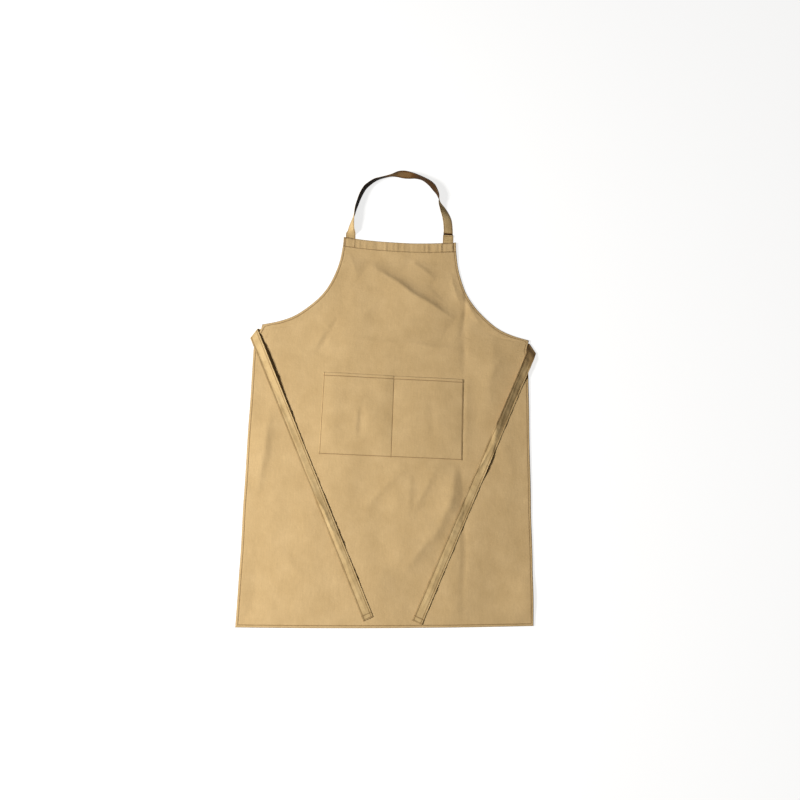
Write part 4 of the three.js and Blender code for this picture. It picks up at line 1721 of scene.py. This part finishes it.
@dataclass
class StrapTab(TapePart):
    """The doubled tab over the neck strap's right end, its upper edge standing a little off the strap.

    Its middle line is in shares of half the strap loop's width, and the end of the strap's turn below it in
    shares of the loop's height. The rest is in mm."""

    middle: float = 0.982
    strap_end: float = 0.04
    proud: float = 1.9
    proud_from: float = 6
    seam_inset: float = 2.0
    top_stitch: float = 3.0
    low_stitch: float = 7.5
    top_stitch_lift: float = 0.55

    @property
    def top_line(self) -> float:
        """The height of the stitched line along the tab's upper edge."""
        return self.cloth.sizes.length + self.cloth.sizes.tab_reach - self.top_stitch

    def surface(self) -> Strip:
        """The tab's middle surface.

        Returns:
            The surface.
        """
        s = self.cloth.sizes
        over_bib = s.length + s.bib_top_skew
        risen = s.length + self.strap_end * s.strap_loop_height - s.clearance
        top = s.length + s.tab_reach
        w = tape_columns(s.tab_width, self.seam_inset)
        y = spread((s.length - s.strap_insert, over_bib, 12), (over_bib, risen, 8), (risen, top, 12))
        height = s.layer * ramp(y, over_bib, risen) + self.proud * smooth(y, top - self.proud_from, top)
        x = self.middle * s.strap_loop_width / 2 + w
        grids = np.broadcast_arrays(x[None, :], y[:, None], (height + s.cloth / 2)[:, None])
        return Strip(np.stack(grids, axis=-1), w, y)

    def build(self, strip: Strip) -> bpy.types.Object:
        """Makes the tab's cloth.

        Args:
            strip: The middle surface.

        Returns:
            The tab.
        """
        s = self.cloth.sizes
        sides = np.abs(np.abs(strip.across) - (s.tab_width / 2 - self.seam_inset))
        seam = np.minimum(sides[None, :], np.abs(strip.along - self.top_line)[:, None])
        return self.ribbon("right_strap_tab_cloth", strip, seam, np.full(seam.shape, s.cloth))

    def sew(self) -> bpy.types.Object:
        """Sews the tab's upper edge and a line above the bib.

        Returns:
            The stitches.
        """
        s = self.cloth.sizes
        half = s.tab_width / 2 - self.seam_inset
        x = self.middle * s.strap_loop_width / 2 + np.linspace(-half, half, 12)
        paths = []
        for level, lifted in ((self.top_line, self.top_stitch_lift), (s.length + self.low_stitch, 0.0)):
            paths.append(self.cloth.flat_path(x, level, s.layer + lifted * self.proud + s.cloth))
        return self.sewer.sew("strap_tab_stitches", paths, self.finishes.thread)

    def finish(self) -> None:
        """Makes, sews and hands over the tab."""
        tab, stitches = self.build(self.surface()), self.sew()
        hand_over(tab, "strap_twill", "right_strap_tab")
        hand_over(stitches, "strap_twill")


@dataclass(frozen=True)
class TieCourse:
    """How one waist tie lies: where it folds and leans, its rises and creases, and the painted shade along its
    front part.

    fold_out is how far past the skirt's edge it folds and front how long its front part is, in mm. lean is
    in degrees. slant shifts the rises between the tie's edges. inner and outer are the two edges' rise as
    shares of the tie's width, at the shares of the front part's length in along. tone is the painted shade on
    the tie's upper side where it is turned from the light: how dark it is painted at the shares listed for it."""

    side: Side
    fold_out: float
    lean: float
    front: float
    slant: float
    along: Sequence[float]
    inner: Sequence[float]
    outer: Sequence[float]
    creases: Sequence[Crease]
    # The tone is painted shade on the tie's upper side, where its face is turned from the light.
    painted_shade_along: Sequence[float] = (0, 1)
    tone: Sequence[float] = (0, 0)


@dataclass(kw_only=True)
class Tie(TapePart):
    """A waist tie: sewn behind the waist corner, folded round it and lying across the front.

    Its sizes are in mm."""

    course: TieCourse
    seam_inset: float = 3.6
    end_hem: float = 13.0
    end_hem_layer: float = 0.7
    end_stitches: tuple[float, float] = (1.6, 2.4)
    rows: int = 330
    clear_steps: Sequence[float] = (-6, -3, 0, 3, 6)
    clear_margin: float = 4
    crumple: float = 0.5
    crumple_width: float = 7
    bend: float = 0.55
    bend_width: float = 16
    press: float = 0.2
    curl: float = 0.3
    rim_start: float = 0.2
    lee: float = 1.3
    stitch_bite: float = 0.08

    @property
    def name(self) -> str:
        """The CAD node's name."""
        return f"{self.course.side.name.lower()}_tie"

    @property
    def to_fold(self) -> float:
        """From the tie's sewn end to its fold."""
        return self.cloth.sizes.tie_insert + self.course.fold_out

    @property
    def fold_radius(self) -> float:
        """The radius of the fold."""
        return self.cloth.sizes.tie_fold_height / 2

    @property
    def fold_length(self) -> float:
        """How much of the tie the fold takes up."""
        return math.pi * self.fold_radius

    @property
    def whole(self) -> float:
        """The tie's whole length."""
        return self.to_fold + self.course.front

    @property
    def hem_line(self) -> float:
        """From the tie's sewn end to the hem of its other end."""
        return self.whole - self.end_hem

    def clear_height(self, x: Array, y: Array) -> Array:
        """The height that clears the panel round a place, or the floor beyond the panel's edge.

        Args:
            x: Places across, in mm.
            y: Places up, in mm.

        Returns:
            The height in mm.
        """
        s = self.cloth.sizes
        height = np.zeros_like(x)
        for dx in self.clear_steps:
            for dy in self.clear_steps:
                u, v = self.cloth.pattern(x + dx, y + dy)
                inside = (np.abs(u) < self.cloth.half_width(v) + self.clear_margin) & (v > -self.clear_margin)
                top = self.cloth.underside(u, np.clip(v, 0, s.length)) + s.layer
                height = np.maximum(height, np.where(inside, top, 0))
        return height

    def resting(self, from_fold: Array, w: Array, x: Array, y: Array) -> Array:
        """The height of the tie's front part, with its rises, creases and crumples.

        Args:
            from_fold: Places along it from its fold, in mm.
            w: Places across it.
            x: Where they lie across the apron.
            y: Where they lie up the apron.

        Returns:
            The height in mm.
        """
        s, course = self.cloth.sizes, self.course
        share = from_fold / course.front + course.slant * (w / s.tie_width - 0.5)
        inner = read_column(course.along, course.inner, share) * s.tie_width
        outer = read_column(course.along, course.outer, share) * s.tie_width
        lifted = outer + (inner - outer) * (0.5 + w / s.tie_width) + s.cloth / 2 + s.layer
        lying = self.clear_height(x, y) + s.cloth / 2
        crumple = self.crumple * drift(from_fold, w / 3, self.crumple_width, Seed.TIE_CRUMPLE)
        crumple = crumple + self.bend * drift(from_fold, w / 2, self.bend_width, Seed.TIE_BEND)
        curl = self.curl * np.abs(2 * w / s.tie_width) ** 4
        creases = creased(course.creases, from_fold, w)
        return np.maximum(lifted, lying) + (creases + np.maximum(crumple, -self.press) + self.press + curl)

    def surface(self, along: Array, w: Array) -> Array:
        """The tie's middle surface in mm.

        Args:
            along: Places along it from its sewn end, a grid.
            w: Places across it, up at the waist, a grid.

        Returns:
            The points.
        """
        s = self.cloth.sizes
        stray = s.skirt_width * float(read_column(STRAY_UP, STRAY_ASIDE, np.array(s.tie_line / s.length)))
        stray *= self.course.side.value
        sewn_at = s.skirt_width / 2 - s.tie_insert + stray
        fold_at = s.skirt_width / 2 + self.course.fold_out + stray
        lean = math.radians(self.course.lean)
        radius, turn = self.fold_radius, self.fold_length
        line = np.array([1 - math.sin(lean), -math.cos(lean)])
        line /= np.linalg.norm(line)
        outward = np.array([-line[1], line[0]])
        start = np.array([fold_at, s.tie_line]) - outward * radius
        flat = np.stack([sewn_at + along, s.tie_line + w], axis=-1)
        beyond = (flat - start) @ outward
        base = flat - beyond[..., None] * outward
        under = beyond <= 0
        folding = (beyond > 0) & (beyond <= turn)
        angle = np.clip(beyond / radius, 0, math.pi)
        over = np.where(folding, radius * np.sin(angle), turn - beyond)
        place = np.where(under[..., None], flat, base + over[..., None] * outward)
        x, y = place[..., 0] * self.course.side.value, place[..., 1]
        onto = smooth(beyond, turn, turn + 0.6 * s.tie_width)
        resting = self.resting(along - (fold_at - sewn_at), w, x, y)
        on_front = (s.cloth / 2 + s.tie_fold_height) * (1 - onto) + resting * onto
        on_fold = s.cloth / 2 + radius * (1 - np.cos(angle))
        z = np.where(under, s.cloth / 2, np.where(folding, on_fold, on_front))
        return np.stack([x, y, z], axis=-1)

    def strip(self) -> Strip:
        """The tie's middle surface, dense at its fold and at the hem of its end.

        Returns:
            The surface.
        """
        s = self.cloth.sizes
        lean = math.radians(self.course.lean)
        slope = -(1 - math.sin(lean)) / math.cos(lean)
        to_fold, turn, end, whole = self.to_fold, self.fold_length, self.hem_line, self.whole
        line = spread(
            (0, to_fold - turn, 12),
            (to_fold - turn, to_fold + 2 * turn, 30),
            (to_fold + 2 * turn, end - 1, self.rows - 60),
            (end - 1, end + 1, 4),
            (end + 1, whole, 14),
        )
        w = tape_columns(s.tie_width, self.seam_inset)
        across, along = np.meshgrid(w, line)
        past_fold = smooth(along, to_fold + turn, to_fold + turn + 2 * s.tie_width)
        slanted = smooth(along, 0, to_fold - turn) * (1 - past_fold)
        return Strip(self.surface(along + across * slope * slanted, across), w, line)

    def thickness(self, strip: Strip) -> Array:
        """The tie's thickness at each point, with the turned-back cloth of its end."""
        doubled = smooth(strip.along, self.hem_line - 0.6, self.hem_line + 0.8)[:, None]
        return np.broadcast_to(self.cloth.sizes.cloth + self.end_hem_layer * doubled, strip.points.shape[:2])

    def build(self, strip: Strip) -> bpy.types.Object:
        """Makes the tie's cloth. Painted shade darkens its rims, less on the lee side away from the light, and
        its upper side where the tone sets it.

        Args:
            strip: The middle surface.

        Returns:
            The tie.
        """
        half = self.cloth.sizes.tie_width / 2
        w, line = strip.across[None, :], strip.along[:, None]
        edges = np.abs(np.abs(w) - (half - self.seam_inset))
        first, last = self.end_stitches
        ends = np.minimum(np.abs(line - self.hem_line - first), np.abs(line - self.whole + last))
        # Painted shade darkens the rims through the seam colour; on the lee side, away from the light, it
        # starts farther in.
        lee = self.lee * (w * self.course.side.value < 0)
        rim = np.minimum(half - np.abs(w) + lee, self.whole - line) + self.rim_start
        seam = np.minimum(np.minimum(edges, ends), rim)
        # The tone is painted shade on the upper side, where the tie's face is turned from the light.
        share = (strip.along - self.to_fold) / self.course.front
        depth = read_column(self.course.painted_shade_along, self.course.tone, share)
        depth = np.broadcast_to(depth[:, None], seam.shape)
        shade = (np.zeros_like(depth), depth)
        return self.ribbon(self.name + "_cloth", strip, seam, self.thickness(strip), shade)

    def sew(self, strip: Strip) -> bpy.types.Object:
        """Sews both stitched lines from the fold on, and the end's hem twice.

        Args:
            strip: The middle surface.

        Returns:
            The stitches.
        """
        ways = normals_of(strip.points)
        lift = (self.thickness(strip) / 2 - self.stitch_bite)[..., None]
        top = strip.points + lift * ways
        first = int(np.searchsorted(strip.along, self.to_fold + self.fold_length))
        parts = [(slice(first, None), column) for column in TAPE_STITCHES]
        for level in (self.hem_line + self.end_stitches[0], self.whole - self.end_stitches[1]):
            parts.append((int(np.abs(strip.along - level).argmin()), slice(5, -5)))
        paths = [(self.cloth.row_frame(*top[part].T), ways[part]) for part in parts]
        return self.sewer.sew(self.name + "_stitches", paths, self.finishes.thread)

    def finish(self) -> None:
        """Makes, sews and hands over the tie."""
        strip = self.strip()
        tie, stitches = self.build(strip), self.sew(strip)
        hand_over(tie, "strap_twill", self.name)
        hand_over(stitches, "strap_twill")


TIES = (
    TieCourse(
        side=Side.LEFT,
        fold_out=5,
        lean=25.2,
        front=711,
        slant=0,
        along=(0, 0.03, 0.08, 0.16, 0.26, 0.36, 0.48, 0.64, 0.72, 0.8, 1),
        inner=(0.34, 0.36, 0.4, 0.34, 0.22, 0.12, 0.05, 0.02, 0.06, 0.01, 0.02),
        outer=(0.34, 0.22, 0.06, 0.02, 0, 0, 0, 0.02, 0.01, 0.01, 0.02),
        creases=(
            Crease((150, -3), (330, -6), 0.8, 5, 4),
            Crease((300, -6), (440, -1), 1.4, 7, 6),
            Crease((372, -9), (556, 3), 4.2, 7, 9),
            Crease((500, 1), (540, 13), 1.6, 4, 4),
            Crease((500, -4), (590, 2), 0.7, 4, 4),
            Crease((545, 1), (705, 0), 1.0, 4, 4),
        ),
    ),
    TieCourse(
        side=Side.RIGHT,
        fold_out=7.5,
        lean=22.3,
        front=700.3,
        slant=0.07,
        along=(0, 0.04, 0.1, 0.18, 0.26, 0.3, 0.35, 0.4, 0.45, 0.52, 0.7, 1),
        inner=(0.34, 0.46, 0.56, 0.56, 0.54, 0.48, 0.06, 0.02, 0.08, 0.04, 0.02, 0.01),
        outer=(0.34, 0.26, 0.1, 0.04, 0.02, 0.04, 0.24, 0.2, 0.09, 0.05, 0.06, 0.04),
        creases=(
            Crease((14, 5), (250, 2), 0.7, 3, 3),
            Crease((40, -4), (262, -7), 0.6, 3, 3),
            Crease((262, -1), (350, 11), 3.6, 4, 7),
            Crease((352, 0), (520, 4), 1.2, 10, 5),
            Crease((500, 2), (690, 0), 1.1, 6, 4),
        ),
        # The right tie's tone is painted shade, darkest at its fold, on the part whose face is turned from the
        # light.
        painted_shade_along=(-0.03, 0.05, 0.1, 0.2, 0.3, 0.34, 1),
        tone=(0.8, 0.55, 0.12, 0.08, 0.16, 0, 0),
    ),
)


@dataclass(frozen=True)
class Studio:
    """A white floor, one soft key light from the left, a broad weak fill from above and a dim warm sky.

    Lights are placed in metres and their colours are linear. The floor's level and the eye are in mm, and the
    camera's three turns are in degrees."""

    cloth: LaidCloth
    key_watts: float = 114
    key_place: tuple[float, float, float] = (-2.0, -0.5, 1.78)
    key_size: float = 0.55
    fill_watts: float = 2
    fill_place: tuple[float, float, float] = (0.3, 0.4, 3.4)
    fill_size: float = 3.0
    lamp_colour: tuple[float, float, float] = (1.0, 0.998, 0.995)
    sky: float = 0.08
    sky_colour: tuple[float, float, float, float] = (1.0, 0.91, 0.78, 1)
    floor_half: float = 6.0
    floor_level: float = -0.4
    eye: tuple[float, float, float] = (-81.1, 222.9, 1468.9)
    tilt: float = 11.0
    lean: float = -4.0
    roll: float = 2.0806
    focal_px: float = 631.69
    image_px: float = 800
    sensor: float = 36

    def light(self, name: str, place: tuple[float, float, float], size: float, watts: float) -> None:
        """Adds a soft square light that faces the apron.

        Args:
            name: Its name.
            place: Where it stands, in metres.
            size: Its side, in metres.
            watts: Its power.
        """
        lamp = bpy.data.lights.new(name, "AREA")
        lamp.shape, lamp.size, lamp.energy = "SQUARE", size, watts
        lamp.color = self.lamp_colour
        light = placed(name, lamp)
        light.location = place
        light.rotation_euler = (Vector((0, 0, 0)) - Vector(place)).to_track_quat("-Z", "Y").to_euler()

    def floor(self) -> None:
        """Lays the floor."""
        mesh = bpy.data.meshes.new("studio_floor")
        half, level = self.floor_half, self.floor_level * MM
        corners = [(-half, -half, level), (half, -half, level), (half, half, level), (-half, half, level)]
        mesh.from_pydata(corners, [], [(0, 1, 2, 3)])
        mesh.materials.append(FloorFinish().build())
        floor = placed("studio_floor", mesh)

    def camera(self) -> None:
        """Sets the camera up where the photograph was taken from."""
        lens = bpy.data.cameras.new("camera")
        lens.sensor_width, lens.lens = self.sensor, self.sensor * self.focal_px / self.image_px
        camera = placed("camera", lens)
        turn = (
            Matrix.Rotation(math.radians(self.roll), 4, "Z")
            @ Matrix.Rotation(math.radians(self.lean), 4, "Y")
            @ Matrix.Rotation(math.radians(self.tilt), 4, "X")
        )
        eye = (np.array(self.eye) + self.cloth.shift) * MM
        camera.matrix_world = Matrix.Translation(Vector(eye)) @ turn
        bpy.context.scene.camera = camera

    def build(self) -> None:
        """Sets the floor, the lights, the sky and the camera."""
        self.floor()
        self.light("key_from_the_left", self.key_place, self.key_size, self.key_watts)
        self.light("fill_from_above", self.fill_place, self.fill_size, self.fill_watts)
        world = bpy.data.worlds.new("studio_sky")
        world.use_nodes = True
        world.node_tree.nodes.clear()
        glow = {"Color": self.sky_colour, "Strength": self.sky}
        sky = add(world.node_tree, "ShaderNodeBackground", glow)
        add(world.node_tree, "ShaderNodeOutputWorld", {}, {0: sky.outputs[0]})
        bpy.context.scene.world = world
        bpy.context.scene.view_settings.view_transform = "Standard"
        self.camera()


def main() -> None:
    """Builds the apron's sub-assemblies in order, and the studio round them."""
    logging.basicConfig(level=logging.INFO, format="%(message)s")
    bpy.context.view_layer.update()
    cloth = LaidCloth(ApronSizes(), Relief())
    strap_twill = TwillFinish(
        name="khaki_cotton_twill_strap",
        colour="B89D6F",
        deep="A98E61",
        pale="C2A87A",
        rib_mm=1.0,
        weave=Weave.ALONG_THE_STRAP,
        sheen=0.02,
        specular=0.1,
    )
    finishes = Finishes(
        body=TwillFinish(name="khaki_cotton_twill").build(),
        tape=strap_twill.build(),
        thread=ThreadFinish().build(),
    )
    sewer = StitchSewer()
    Studio(cloth).build()
    ApronBody(cloth, finishes, sewer).finish()
    Pocket(cloth, finishes, sewer).finish()
    NeckStrap(cloth, finishes, sewer).finish()
    StrapTab(cloth, finishes, sewer).finish()
    for course in TIES:
        Tie(cloth, finishes, sewer, course=course).finish()


if __name__ == "__main__":
    main()
